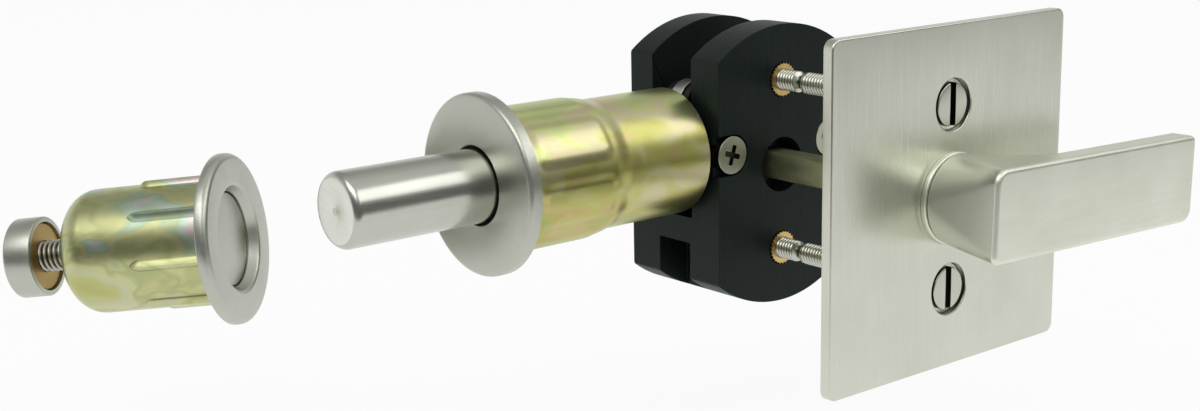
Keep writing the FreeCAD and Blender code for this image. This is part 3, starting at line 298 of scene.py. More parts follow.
def chromate(name, place, size, drift, stops):
    """Iridescent chromate: soft patches of colour that drift over the piece, and drawing lines."""
    material, nodes, links, shader = new_material(name, (0.58, 0.54, 0.26), 1.0, 0.28)
    vector = object_pattern(nodes, links, (size * MM, size * MM, size * 1.6 * MM), place)
    patches = noise(nodes, links, vector, 2.0, 0.45, 0.5)
    drifted = nodes.new("ShaderNodeVectorMath")
    drifted.operation = "DOT_PRODUCT"
    drifted.inputs[1].default_value = drift
    links.new(vector, drifted.inputs[0])
    film = nodes.new("ShaderNodeMath")
    film.operation = "ADD"
    links.new(drifted.outputs["Value"], film.inputs[0])
    links.new(patches, film.inputs[1])
    links.new(ramp(nodes, links, film.outputs["Value"], stops), shader.inputs["Base Color"])
    specks = grain(nodes, links, 0.3)
    links.new(spread(nodes, links, specks, 0.28, 0.36), shader.inputs["Roughness"])
    drawn = (0.16 * MM, 0.16 * MM, 9 * MM)
    lines = noise(nodes, links, object_pattern(nodes, links, drawn, place), 2.0)
    both = nodes.new("ShaderNodeMath")
    both.operation = "MULTIPLY_ADD"
    both.inputs[1].default_value = 0.5
    links.new(specks, both.inputs[0])
    links.new(lines, both.inputs[2])
    bump(nodes, links, shader, both.outputs["Value"], 0.005)
    return material


# Its colour drifts with height: darker olive low down, pale straw and pink higher up where the highlight
# falls, green-yellow at the top. This is partly the chromate's own tone and partly painted light
sleeve_zinc = chromate("sleeve_zinc", bolt_place, 7.0, (0, 0.13, 0.01), [
    (0.20, (0.40, 0.41, 0.12)),
    (0.30, (0.42, 0.46, 0.15)),
    (0.37, (0.48, 0.43, 0.14)),
    (0.43, (0.54, 0.45, 0.21)),
    (0.50, (0.50, 0.49, 0.16)),
    (0.57, (0.56, 0.54, 0.22)),
    (0.64, (0.62, 0.58, 0.34)),
    (0.70, (0.64, 0.57, 0.36)),
    (0.76, (0.60, 0.64, 0.28)),
    (0.84, (0.54, 0.61, 0.27)),
])
front_bore = sleeve_front - sleeve_wall
rear_bore = sleeve_rear - sleeve_wall
flange_fillet = 0.3 * MM
FRONT_STEPS, TAPER_STEPS = 60, 10
front_step = (taper_start - flange_fillet) / FRONT_STEPS
taper_step = (taper_end - taper_start) / TAPER_STEPS
taper_drop = sleeve_front - sleeve_rear
sleeve_profile = [
    (sleeve_low.x, front_bore),
    (sleeve_low.x, flange_radius),
    (0, flange_radius),
    (0, sleeve_front + flange_fillet),
    *[(flange_fillet + front_step * i, sleeve_front) for i in range(FRONT_STEPS)],
    *[(taper_start + taper_step * i, sleeve_front - taper_drop * soft_step(i / TAPER_STEPS))
      for i in range(TAPER_STEPS + 1)],
    (sleeve_end - lip, sleeve_rear),
    (sleeve_end, sleeve_rear - lip),
    (sleeve_end, rear_bore),
    (taper_end, rear_bore),
    (taper_start, front_bore),
]
sleeve_mesh = lathe(sleeve_profile, bolt_place, 360)
for vert in sleeve_mesh.verts:
    out = math.hypot(vert.co.y, vert.co.z)
    if out < sleeve_rear - lip / 2 or not flange_fillet / 2 <= vert.co.x <= taper_end:
        continue
    angle = math.atan2(vert.co.z, -vert.co.y)
    turn = (angle - panel_middle) % (math.tau / PANELS)
    turn = min(turn, math.tau / PANELS - turn)
    rise = raised_box(
        turn * sleeve_front, vert.co.x, panel_half_angle * sleeve_front, panel_start, panel_stop,
        panel_corner, panel_edge,
    )
    sunk = groove_depth * (1 - rise) * soft_step((panel_stop - vert.co.x) / panel_edge)
    grown = 1 + (rise * panel_height - sunk) / out
    vert.co.y *= grown
    vert.co.z *= grown
finish_piece(sleeve_mesh, "bolt_sleeve_drawn", sleeve_zinc, "root", "bolt_sleeve")

# Works inside the sleeve. The stamped yoke is chromated with the sleeve, the straps and
# their rivets are blackened, the pins are plated pale, and the guide is a grey casting.


def finish_node(node, material):
    """Gives a piece of the frame its finish and leaves its mesh alone."""
    slots = frame["nodes"][node].data.materials
    slots.clear()
    slots.append(material)


pale_zinc = satin_metal("pale_zinc", (0.50, 0.51, 0.49), (0.58, 0.59, 0.56), 0.34, (0.5 * MM,) * 3)
black_oxide = satin_metal(
    "black_oxide", (0.035, 0.035, 0.033), (0.06, 0.058, 0.054), 0.45, (0.5 * MM,) * 3)
grey_casting = satin_metal(
    "grey_casting", (0.24, 0.25, 0.26), (0.33, 0.34, 0.35), 0.5, (0.4 * MM,) * 3, 0.02)
finish_node("tail_pin", pale_zinc)
finish_node("guide_pin", pale_zinc)
for node in ("tail_straps", "tail_rivets"):
    finish_node(node, black_oxide)
finish_node("bolt_guide", grey_casting)
finish_node("sleeve_yoke", sleeve_zinc)

# Lock body. One moulded block of matt black acetal that fills the cross bore: two slabs
# with the mechanism's slot between them, and a solid foot with a small notch. The bush in
# the sleeve's mouth is of the same acetal.


def cad_copy(node):
    """A merged copy of a frame piece, with its flat faces whole again."""
    bm = bmesh.new()
    bm.from_mesh(frame["nodes"][node].data)
    bmesh.ops.remove_doubles(bm, verts=bm.verts, dist=0.002 * MM)
    bmesh.ops.dissolve_limit(bm, angle_limit=math.radians(0.5), verts=bm.verts, edges=bm.edges)
    return bm


def break_edges(piece, width, segments=2):
    """Breaks the sharp edges of a piece, as moulding, stamping or tumbling does."""
    bevel = piece.modifiers.new("broken_edges", "BEVEL")
    bevel.width = width
    bevel.segments = segments
    bevel.limit_method = "ANGLE"
    bevel.angle_limit = math.radians(35)
    bevel.harden_normals = True
    bevel.use_clamp_overlap = True


black_acetal, acetal_nodes, acetal_links, acetal_shader = new_material(
    "black_acetal", (0.007, 0.0095, 0.0095), 0.0, 0.5)
acetal_shader.inputs["Specular IOR Level"].default_value = 0.22
acetal_shader.inputs["Specular Tint"].default_value = (0.8, 1.0, 0.94, 1)
drag_lines = noise(
    acetal_nodes, acetal_links,
    object_pattern(acetal_nodes, acetal_links, (0.5 * MM, 0.5 * MM, 7 * MM)), 4.0, 0.6)
acetal_specks = grain(acetal_nodes, acetal_links, 0.3, 2.0)
acetal_links.new(
    ramp(acetal_nodes, acetal_links, drag_lines,
         [(0.3, (0.004, 0.0068, 0.0062)), (0.7, (0.008, 0.013, 0.012))]),
    acetal_shader.inputs["Base Color"])
acetal_links.new(
    spread(acetal_nodes, acetal_links, acetal_specks, 0.42, 0.56), acetal_shader.inputs["Roughness"])
bump(acetal_nodes, acetal_links, acetal_shader, acetal_specks, 0.006)
finish_node("front_bush", black_acetal)
break_edges(
    finish_piece(cad_copy("lock_body"), "lock_body_moulded", black_acetal, "root",
                 "lock_body"),
    0.22 * MM,
)

# Clamp screws. Pale zinc-plated machine screws with low heads and a cross recess, which
# pull the two slabs together and hold the sleeve's yoke. The recesses are painted dark as shade.

recess_turn = math.radians(18)
# Painted shade for recesses: its dark colour, and the depth over which it fades in
PAINTED_RECESS_SHADE = (0.07, 0.068, 0.052)
shade_fade = 0.05 * MM


def object_axis(nodes, links, axis):
    """One of the surface's object coordinates, in metres."""
    split = nodes.new("ShaderNodeSeparateXYZ")
    links.new(object_pattern(nodes, links, (1.0,) * 3), split.inputs["Vector"])
    return split.outputs[axis]


def recessed_metal(name, plating, roughness, face, shade_from, shade_to):
    """Plated metal with painted shade between two depths behind its face, where a recess lies."""
    material, nodes, links, shader = new_material(name, plating, 1.0, roughness)
    depth = object_axis(nodes, links, "Y")
    near = spread(nodes, links, depth, 0, 1, face + shade_from, face + shade_from + shade_fade)
    far = spread(nodes, links, depth, 1, 0, face + shade_to, face + shade_to + shade_fade)
    inside = nodes.new("ShaderNodeMath")
    inside.operation = "MULTIPLY"
    links.new(near, inside.inputs[0])
    links.new(far, inside.inputs[1])
    shade = ramp(nodes, links, inside.outputs["Value"], [(0.0, plating), (1.0, PAINTED_RECESS_SHADE)])
    links.new(shade, shader.inputs["Base Color"])
    bump(nodes, links, shader, grain(nodes, links, 0.5), 0.004)
    return material


for node in ("clamp_screw_left", "clamp_screw_right"):
    low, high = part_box(node)
    middle = (low + high) / 2
    # The cross recess is painted dark as shade
    screw_zinc = recessed_metal(
        f"{node}_zinc", (0.44, 0.45, 0.38), 0.34, low.y, 0.12 * MM, 1.3 * MM)
    screw = cad_copy(node)
    bmesh.ops.rotate(
        screw, verts=screw.verts, cent=middle, matrix=Matrix.Rotation(recess_turn, 3, "Y"))
    break_edges(
        finish_piece(screw, f"{node}_plated", screw_zinc, "root", node),
        0.14 * MM,
    )

# Drive hub and spindle. The hub's stamped slotted arm is bright and its turned journals are
# blackened. The square spindle carries a dull olive chromate.

arm_half = 1.5 * MM
BARE_STEEL = (0.60, 0.60, 0.57)
BLACKENED = (0.03, 0.03, 0.028)
hub_steel, hub_nodes, hub_links, hub_shader = new_material("hub_steel", BARE_STEEL, 1.0, 0.32)
hub_side = hub_nodes.new("ShaderNodeMath")
hub_side.operation = "ABSOLUTE"
hub_links.new(object_axis(hub_nodes, hub_links, "Y"), hub_side.inputs[0])
journal = spread(
    hub_nodes, hub_links, hub_side.outputs["Value"], 0, 1, arm_half, arm_half + 0.2 * MM)
hub_links.new(
    ramp(hub_nodes, hub_links, journal, [(0.0, BARE_STEEL), (1.0, BLACKENED)]),
    hub_shader.inputs["Base Color"])
bump(hub_nodes, hub_links, hub_shader, grain(hub_nodes, hub_links, 0.5), 0.004)
break_edges(
    finish_piece(cad_copy("drive_hub"), "drive_hub_turned", hub_steel, "drive",
                 "drive_hub"),
    0.15 * MM,
)
olive_chromate, olive_nodes, olive_links, olive_shader = new_material(
    "olive_chromate", (0.30, 0.30, 0.19), 0.85, 0.42)
olive_cloud = noise(
    olive_nodes, olive_links, object_pattern(olive_nodes, olive_links, (2 * MM, 6 * MM, 2 * MM)), 4.0)
olive_links.new(
    ramp(olive_nodes, olive_links, olive_cloud,
         [(0.3, (0.28, 0.30, 0.16)), (0.7, (0.46, 0.46, 0.29))]),
    olive_shader.inputs["Base Color"])
bump(olive_nodes, olive_links, olive_shader, grain(olive_nodes, olive_links, 0.3), 0.016)
break_edges(
    finish_piece(cad_copy("spindle"), "spindle_chromated", olive_chromate, "drive",
                 "spindle"),
    0.35 * MM, 3,
)

# Inserts. Knurled brass, moulded into the front slab so that their toothed rims show.

yellow_brass = satin_metal(
    "yellow_brass", (0.58, 0.40, 0.15), (0.70, 0.51, 0.22), 0.34, (0.4 * MM,) * 3, 0.008,
)
for node in ("insert_upper", "insert_lower"):
    finish_piece(cad_copy(node), f"{node}_knurled", yellow_brass, "root", node, 12)

# Trim screws. Nickel-plated slotted machine screws with a rolled 4 mm thread, turned down
# in places so that they can be snapped to length for a thinner door.

bright_nickel = satin_metal("bright_nickel", (0.42, 0.41, 0.36), (0.52, 0.51, 0.45), 0.24, (0.6 * MM,) * 3)
THREAD_PITCH = 0.7 * MM
thread_depth = 0.36 * MM
break_start = 4.4 * MM
break_width = 1.9 * MM
break_pitch = 8.0 * MM
BREAKS = 4
slot_width = 1.5 * MM
slot_depth = 0.8 * MM
head_height = 1.2 * MM
head_round = 0.22 * MM
screw_tip = 0.55 * MM
head_dome = 0.04 * MM
thread_crest = 2.0 * MM
shoulder_drop = 0.08 * MM
break_core = 1.3 * MM
break_slope = 0.35 * MM


def coil(bm, section, turns, rise, steps):
    """Sweeps a closed section of (out, along) points up a helix and closes both its ends."""
    wound = bmesh.new()
    ring = [wound.verts.new((out, 0, along)) for out, along in section]
    edges = [wound.edges.new(pair) for pair in zip(ring, ring[1:] + ring[:1])]
    count = int(steps * turns)
    swept = bmesh.ops.spin(
        wound, geom=ring + edges, axis=(0, 0, 1), cent=(0, 0, 0), steps=count,
        angle=math.tau * turns, dvec=(0, 0, rise / count), use_duplicate=False,
    )
    last = [item for item in swept["geom_last"] if isinstance(item, bmesh.types.BMEdge)]
    bmesh.ops.contextual_create(wound, geom=edges)
    bmesh.ops.contextual_create(wound, geom=last)
    coiled = bpy.data.meshes.new("coiled")
    wound.to_mesh(coiled)
    wound.free()
    bm.from_mesh(coiled)
    bpy.data.meshes.remove(coiled)


def thread_ridge(bm, start, end, crest, root, pitch, steps=24):
    """Adds a helical thread ridge round the Z axis, sunk a little into its core."""
    sunk = root - 0.06 * MM
    foot, top = pitch * 0.45, pitch * 0.08
    middle = start + foot
    section = [
        (sunk, middle - foot), (root, middle - foot), (crest, middle - top),
        (crest, middle + top), (root, middle + foot), (sunk, middle + foot),
    ]
    turns = (end - start - 2 * foot) / pitch
    coil(bm, section, turns, pitch * turns, steps)


def cut_slot(core, head_radius, length):
    """Cuts the screwdriver slot across the head of a turned screw."""
    blank_data = bpy.data.meshes.new("screw_blank")
    core.to_mesh(blank_data)
    core.free()
    cutter_mesh = bmesh.new()
    bmesh.ops.create_cube(cutter_mesh, size=1.0)
    bmesh.ops.scale(
        cutter_mesh, vec=(slot_width, 4 * head_radius, 2 * slot_depth), verts=cutter_mesh.verts)
    bmesh.ops.translate(cutter_mesh, vec=(0, 0, length), verts=cutter_mesh.verts)
    cutter_data = bpy.data.meshes.new("slot_cutter")
    cutter_mesh.to_mesh(cutter_data)
    cutter_mesh.free()
    blank = bpy.data.objects.new("screw_blank", blank_data)
    cutter = bpy.data.objects.new("slot_cutter", cutter_data)
    bpy.context.scene.collection.objects.link(blank)
    bpy.context.scene.collection.objects.link(cutter)
    cut = blank.modifiers.new("screwdriver_slot", "BOOLEAN")
    cut.operation = "DIFFERENCE"
    cut.solver = "EXACT"
    cut.object = cutter
    bpy.context.view_layer.update()
    graph = bpy.context.evaluated_depsgraph_get()
    slotted = bmesh.new()
    slotted.from_mesh(blank.evaluated_get(graph).to_mesh())
    bpy.data.objects.remove(blank)
    bpy.data.objects.remove(cutter)
    return slotted


slab_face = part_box("lock_body")[0].y
for node in ("trim_screw_upper", "trim_screw_lower"):
    low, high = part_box(node)
    middle = (low + high) / 2
    head_radius = high.x - middle.x
    length = high.y - low.y
    root = thread_crest - thread_depth
    shoulder = thread_crest - shoulder_drop
    front = high.y - slab_face
    breaks = [front + break_start + break_pitch * i for i in range(BREAKS)]
    profile = [(0, 0), (0, root - screw_tip), (screw_tip, root)]
    for start in breaks:
        end = start + break_width
        profile += [
            (start, root), (start, shoulder), (start + break_slope, break_core),
            (end - break_slope, break_core), (end, shoulder), (end, root),
        ]
    profile += [
        (length - head_height, root), (length - head_height, head_radius),
        *quarter(length - head_round, head_radius - head_round, head_round, 0, 90, 4),
        (length + head_dome, 0),
    ]
    screw = cut_slot(lathe(profile, Matrix.Identity(4), 64), head_radius, length)
    thread_starts = [screw_tip, *[start + break_width for start in breaks]]
    thread_ends = [*breaks, length - head_height]
    for start, end in zip(thread_starts, thread_ends):
        thread_ridge(screw, start, end, thread_crest, root, THREAD_PITCH)
    bmesh.ops.recalc_face_normals(screw, faces=screw.faces)
    bmesh.ops.transform(
        screw, matrix=seat_on((middle.x, high.y, middle.z), (0, -1, 0)), verts=screw.verts)
    # The screwdriver slot is painted dark as shade, from just behind the head's face to near its back
    screw_nickel = recessed_metal(
        f"{node}_nickel", (0.54, 0.545, 0.475), 0.26, low.y, 0.1 * MM, head_height - shade_fade)
    finish_piece(screw, f"{node}_threaded", screw_nickel, "root", node, 60)

# Trim plate. A 60 mm square of 2 mm stock, brushed upright on its face and satin nickel
# plated, with a slightly grainy sheared edge.

plate_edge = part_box("trim_plate")[0].x
SHEARED = 12.0
plate_nickel, plate_nodes, plate_links, plate_shader = new_material(
    "plate_nickel", (0.63, 0.64, 0.56), 1.0, 0.3)
brushing = noise(
    plate_nodes, plate_links,
    object_pattern(plate_nodes, plate_links, (0.12 * MM, 0.4 * MM, 12 * MM)), 3.0, 0.6)
plate_links.new(
    ramp(plate_nodes, plate_links, grain(plate_nodes, plate_links, 14, 2.0),
         [(0.3, (0.61, 0.62, 0.54)), (0.7, (0.66, 0.67, 0.585))]),
    plate_shader.inputs["Base Color"])
plate_links.new(
    spread(plate_nodes, plate_links, brushing, 0.26, 0.35), plate_shader.inputs["Roughness"])
near_edge = spread(
    plate_nodes, plate_links, object_axis(plate_nodes, plate_links, "X"), SHEARED, 1.0,
    plate_edge + 0.05 * MM, plate_edge + 0.2 * MM)
edge_grain = plate_nodes.new("ShaderNodeMath")
edge_grain.operation = "MULTIPLY"
plate_links.new(grain(plate_nodes, plate_links, 0.35, 3.0, 0.6), edge_grain.inputs[0])
plate_links.new(near_edge, edge_grain.inputs[1])
plate_height = plate_nodes.new("ShaderNodeMath")
plate_height.operation = "ADD"
plate_links.new(edge_grain.outputs["Value"], plate_height.inputs[0])
plate_links.new(brushing, plate_height.inputs[1])
bump(plate_nodes, plate_links, plate_shader, plate_height.outputs["Value"], 0.003)
break_edges(
    finish_piece(cad_copy("trim_plate"), "trim_plate_brushed", plate_nickel, "root",
                 "trim_plate"),
    0.25 * MM, 3,
)

# Lever. A zinc casting in satin nickel: its round neck flares into a flat bar with soft
# edges, and a shank behind goes through the plate to a retaining ring.

lever_low, lever_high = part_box("lever")
hub_x, hub_z = 60 * MM, -3.5 * MM
bar_face = lever_low.y
bar_back = bar_face + 4.3 * MM
neck_start = -53.75 * MM
neck_radius = 7.9 * MM
neck_bevel = 0.15 * MM
throat = 9.0 * MM
bar_half = 7.95 * MM
bar_left = 8.3 * MM
bar_right = 48.8 * MM
edge_round = 0.85 * MM
shank_radius = 5.0 * MM
shank_back = lever_high.y
shank_bevel = 0.3 * MM
groove_back, groove_front = -48.75 * MM, -49.65 * MM
groove_radius = 4.3 * MM
droop = math.radians(1.8)
BAR_ROUNDS = (1.3 * MM, 2.6 * MM, 1.5 * MM, 2.4 * MM)
CORNER_STEPS = 10
SIDE_STEPS = 12
NECK_STEPS = 20
EDGE_STEPS = 8


def lever_section(y, left, right, half, rounds):
    """A rounded rectangle across the Y axis, about the hub's axis and turned by the droop."""
    spots = [(right, half, 1, 1), (-left, half, -1, 1), (-left, -half, -1, -1), (right, -half, 1, -1)]
    arcs = []
    for i, ((x, z, way_x, way_z), radius) in enumerate(zip(spots, rounds)):
        arc = []
        for step in range(CORNER_STEPS + 1):
            angle = math.radians(90 * (i + step / CORNER_STEPS))
            arc.append((x - way_x * radius + radius * math.cos(angle),
                        z - way_z * radius + radius * math.sin(angle)))
        arcs.append(arc)
    ring = []
    for arc, after in zip(arcs, arcs[1:] + arcs[:1]):
        ring += arc
        (x0, z0), (x1, z1) = arc[-1], after[0]
        for step in range(1, SIDE_STEPS):
            share = step / SIDE_STEPS
            ring.append((x0 + (x1 - x0) * share, z0 + (z1 - z0) * share))
    return [
        Vector((
            hub_x + x * math.cos(droop) + z * math.sin(droop), y,
            hub_z + z * math.cos(droop) - x * math.sin(droop),
        )) for x, z in ring
    ]


def stack(bm, sections):
    """Grows a closed skin through the sections, one extrusion at a time, and caps its ends."""
    ring = [bm.verts.new(point) for point in sections[0]]
    edges = [bm.edges.new(pair) for pair in zip(ring, ring[1:] + ring[:1])]
    bmesh.ops.contextual_create(bm, geom=edges)
    for points in sections[1:]:
        grown = bmesh.ops.extrude_edge_only(bm, edges=edges)
        fresh = {item for item in grown["geom"] if isinstance(item, bmesh.types.BMVert)}
        ring = [
            next(edge.other_vert(vert) for edge in vert.link_edges if edge.other_vert(vert) in fresh)
            for vert in ring
        ]
        for vert, point in zip(ring, points):
            vert.co = point
        edges = [bm.edges.get(pair) for pair in zip(ring, ring[1:] + ring[:1])]
    bmesh.ops.contextual_create(bm, geom=edges)


def round_section(y, radius):
    """A round section of the lever's shank or neck."""
    return lever_section(y, radius, radius, radius, (radius,) * 4)


neck_sections = [
    round_section(shank_back, shank_radius - shank_bevel),
    round_section(shank_back - shank_bevel, shank_radius),
    round_section(groove_back, shank_radius),
    round_section(groove_back, groove_radius),
    round_section(groove_front, groove_radius),
    round_section(groove_front, shank_radius),
    round_section(neck_start - neck_bevel, shank_radius),
    round_section(neck_start - neck_bevel, neck_radius - neck_bevel),
    round_section(neck_start - 0.25 * MM, neck_radius - 0.02 * MM),
    round_section(neck_start - 0.5 * MM, neck_radius),
]
flare_start = bar_back + throat
face_edge = bar_face + edge_round
tail_lip = 0.25 * MM


def tail_size(y):
    """How the neck swells from its round towards the bar's tail: left, half and corner rounds."""
    share = (neck_start - y) / (neck_start - face_edge)
    left = neck_radius + (bar_left - tail_lip - neck_radius) * share
    half = neck_radius + (bar_half - neck_radius) * share
    return left, half, [neck_radius + (radius - neck_radius) * share for radius in BAR_ROUNDS]


for i in range(NECK_STEPS + 1):
    angle = math.radians(90 * i / NECK_STEPS)
    y = flare_start - throat * math.sin(angle)
    left, half, rounds = tail_size(y)
    neck_sections.append(lever_section(
        y, left, neck_radius + throat * (1 - math.cos(angle)), half, rounds))
bar_sections = []
for y in (bar_back, face_edge + tail_lip):
    left, half, rounds = tail_size(y)
    bar_sections.append(lever_section(
        y, left, bar_right, half, (BAR_ROUNDS[0], *rounds[1:3], BAR_ROUNDS[3])))
for i in range(EDGE_STEPS + 1):
    angle = math.radians(90 * i / EDGE_STEPS)
    inset = edge_round * (1 - math.cos(angle))
    rounds = [radius - inset for radius in BAR_ROUNDS]
    bar_sections.append(lever_section(
        bar_face + edge_round * (1 - math.sin(angle)), bar_left - inset, bar_right - inset,
        bar_half - inset, rounds))
lever_mesh = bmesh.new()
stack(lever_mesh, neck_sections)
stack(lever_mesh, bar_sections)
bmesh.ops.recalc_face_normals(lever_mesh, faces=lever_mesh.faces)
lever_nickel = satin_metal(
    "lever_nickel", (0.74, 0.755, 0.65), (0.79, 0.805, 0.70), 0.43, (6 * MM, 0.5 * MM, 0.3 * MM), 0.0015,
)
finish_piece(lever_mesh, "lever_cast", lever_nickel, "drive", "lever", 40)
collar_low, collar_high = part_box("lever_collar")
collar_radius = (collar_high.x - collar_low.x) / 2
collar_thick = collar_high.y - collar_low.y
collar_bore = shank_radius + 0.06 * MM
collar_bead, collar_bevel = 0.4 * MM, 0.1 * MM
collar_profile = [
    (0, collar_bore),
    (0, collar_radius - collar_bevel),
    (collar_bevel, collar_radius),
    *quarter(collar_thick - collar_bead, collar_radius - collar_bead, collar_bead, 0, 90, 6),
    (collar_thick, collar_bore),
]
finish_piece(
    lathe(collar_profile, seat_on((hub_x, collar_high.y, hub_z), (0, -1, 0)), 128),
    "lever_collar_turned", lever_nickel, "root", "lever_collar",
)
for node in ("lever_washer", "lever_ring"):
    finish_node(node, pale_zinc)

# Strike flange and plunger. The flange is a satin disc with a round rim and a dished lip,
# and the plunger behind it is a sprung cover that the bolt pushes in.

plunger_joint = next(
    joint for joint in frame["joints"] if joint["name"] == "strike_plunger_slide")
strike_axis = -Vector(plunger_joint["axis"])
strike_middle = Vector((-25.1, 47.9, -14.1)) * MM
strike_place = seat_on(strike_middle, strike_axis)
strike_steel = satin_metal(
    "strike_steel", (0.48, 0.495, 0.435), (0.53, 0.545, 0.48), 0.34, (0.6 * MM,) * 3, 0.002,
)
strike_rim, strike_mouth = 16.0 * MM, 8.95 * MM
strike_front, strike_seat = 2.3 * MM, 1.0 * MM
strike_round, strike_back_round = 1.3 * MM, 0.3 * MM
lip_edge, lip_round = 9.65 * MM, 0.9 * MM
dish_depth = 1.8 * MM
lip_back, lip_outer = -0.5 * MM, 10.7 * MM
cup_seat = 12.43 * MM
strike_profile = [
    (0, cup_seat),
    *quarter(strike_back_round, strike_rim - strike_back_round, strike_back_round, -90, 0, 4),
    *quarter(strike_front - strike_round, strike_rim - strike_round, strike_round, 0, 90, 10),
    *quarter(strike_front - lip_round, lip_edge + lip_round, lip_round, 90, 162, 9),
    (strike_front - dish_depth, strike_mouth),
    (lip_back, strike_mouth),
    (lip_back, lip_outer),
    (strike_seat, lip_outer),
    (strike_seat, cup_seat),
]
finish_piece(
    lathe(strike_profile, strike_place, 192), "strike_flange_pressed", strike_steel, "root",
    "strike_flange",
)
plunger_face = 0.2 * MM
plunger_radius = 8.75 * MM
plunger_rim = 10.6 * MM
plunger_wall = 1.0 * MM
plunger_round = 0.25 * MM
behind_lip, plunger_back, skirt_end = -0.6 * MM, -1.6 * MM, -6.6 * MM
plunger_profile = [
    (plunger_face, 0),
    *quarter(plunger_face - plunger_round, plunger_radius - plunger_round, plunger_round, 90, 0, 5),
    (behind_lip, plunger_radius),
    (behind_lip, plunger_rim),
    (skirt_end, plunger_rim),
    (skirt_end, plunger_rim - plunger_wall),
    (plunger_back, plunger_rim - plunger_wall),
    (plunger_back, 0),
]
finish_piece(
    lathe(plunger_profile, strike_place, 128), "strike_plunger_pressed", strike_steel, "plunger",
    "strike_plunger",
)

# Strike cup. A drawn steel cup in the same yellow chromate, with a domed rear and eight
# narrow ribs, pointed behind, that bite in the jamb.

cup_radius = 11.7 * MM
cup_wall = 0.9 * MM
cup_length = 29.7 * MM
cup_corner = 5.3 * MM
stud_hole = 3.15 * MM
RIBS = 8
rib_turn = math.radians(4.5)
rib_length = 14.8 * MM
rib_point = 2.2 * MM
rib_height = 1.0 * MM
rib_half = 1.15 * MM
rib_sunk = 0.12 * MM
rib_root = 0.5 * MM
rib_start = 0.8 * MM
RIB_STEPS = 12
cup_middle, cup_shoulder = -cup_length + cup_corner, cup_radius - cup_corner
cup_profile = [
    (strike_seat, cup_radius - cup_wall),
    (strike_seat, cup_radius),
    *quarter(cup_middle, cup_shoulder, cup_corner, 0, -90, 18),
    (-cup_length, stud_hole),
    (-cup_length + cup_wall, stud_hole),
    *quarter(cup_middle, cup_shoulder, cup_corner - cup_wall, -90, 0, 10),
]


def rib_section(share, along, outward, sideways):
    """A roof-like section of a cup rib, at a share of the way along its rounded point."""
    half = rib_half * max((1 - share * share) ** 0.7, 0.03)
    high = rib_height * max(1 - share ** 4, 0.05)
    section = []
    for step in range(RIB_STEPS + 1):
        bend = math.radians(180 * step / RIB_STEPS)
        lift = (high + rib_sunk) * (1 - abs(math.cos(bend))) ** 0.65
        section.append((half * math.cos(bend), cup_radius - rib_sunk + lift))
    section += [(-half, cup_radius - rib_root), (half, cup_radius - rib_root)]
    return [outward * out + sideways * across + Vector((0, 0, along)) for across, out in section]


cup_mesh = lathe(cup_profile, Matrix.Identity(4), 192)
for i in range(RIBS):
    angle = rib_turn + math.tau * i / RIBS
    outward = Vector((math.cos(angle), math.sin(angle), 0))
    sideways = Vector((-math.sin(angle), math.cos(angle), 0))
    rib_sections = [rib_section(0, rib_start, outward, sideways)]
    for step in range(RIB_STEPS + 1):
        share = math.sin(math.radians(90 * step / RIB_STEPS))
        along = -rib_length + rib_point * (1 - share)
        rib_sections.append(rib_section(share, along, outward, sideways))
    stack(cup_mesh, rib_sections)
bmesh.ops.recalc_face_normals(cup_mesh, faces=cup_mesh.faces)
bmesh.ops.transform(cup_mesh, matrix=strike_place, verts=cup_mesh.verts)
cup_zinc = chromate("cup_zinc", strike_place, 7.0, (0, 0.05, 0.07), [
    (0.00, (0.46, 0.47, 0.18)),
    (0.12, (0.50, 0.51, 0.22)),
    (0.22, (0.54, 0.56, 0.36)),
    (0.31, (0.58, 0.57, 0.30)),
    (0.38, (0.42, 0.46, 0.22)),
    (0.44, (0.55, 0.54, 0.27)),
    (0.50, (0.40, 0.49, 0.31)),
    (0.56, (0.44, 0.56, 0.46)),
    (0.63, (0.64, 0.53, 0.51)),
    (0.71, (0.46, 0.52, 0.31)),
])
finish_piece(cup_mesh, "strike_cup_drawn", cup_zinc, "root", "strike_cup")

# Stud and cap. A 6 mm threaded stud runs out of the cup's floor into a turned satin cap
# with a brass core.

stud_head, stud_head_height = 4.5 * MM, 2.4 * MM
stud_bevel = 0.4 * MM
stud_floor = -cup_length + cup_wall
stud_end = -39.4 * MM
stud_crest, stud_root = 3.0 * MM, 2.45 * MM
STUD_PITCH = 1.0 * MM
stud_profile = [
    (stud_end, 0),
    (stud_end, stud_root),
    (stud_floor, stud_root),
    (stud_floor, stud_head),
    (stud_floor + stud_head_height - stud_bevel, stud_head),
    (stud_floor + stud_head_height, stud_head - stud_bevel),
    (stud_floor + stud_head_height, 0),
]
stud_mesh = lathe(stud_profile, Matrix.Identity(4), 64)
thread_ridge(stud_mesh, stud_end, stud_floor + STUD_PITCH / 2, stud_crest, stud_root, STUD_PITCH, 32)
bmesh.ops.recalc_face_normals(stud_mesh, faces=stud_mesh.faces)
bmesh.ops.transform(stud_mesh, matrix=strike_place, verts=stud_mesh.verts)
stud_steel, stud_nodes, stud_links, stud_shader = new_material("stud_steel", (0.46, 0.45, 0.41), 1.0, 0.32)
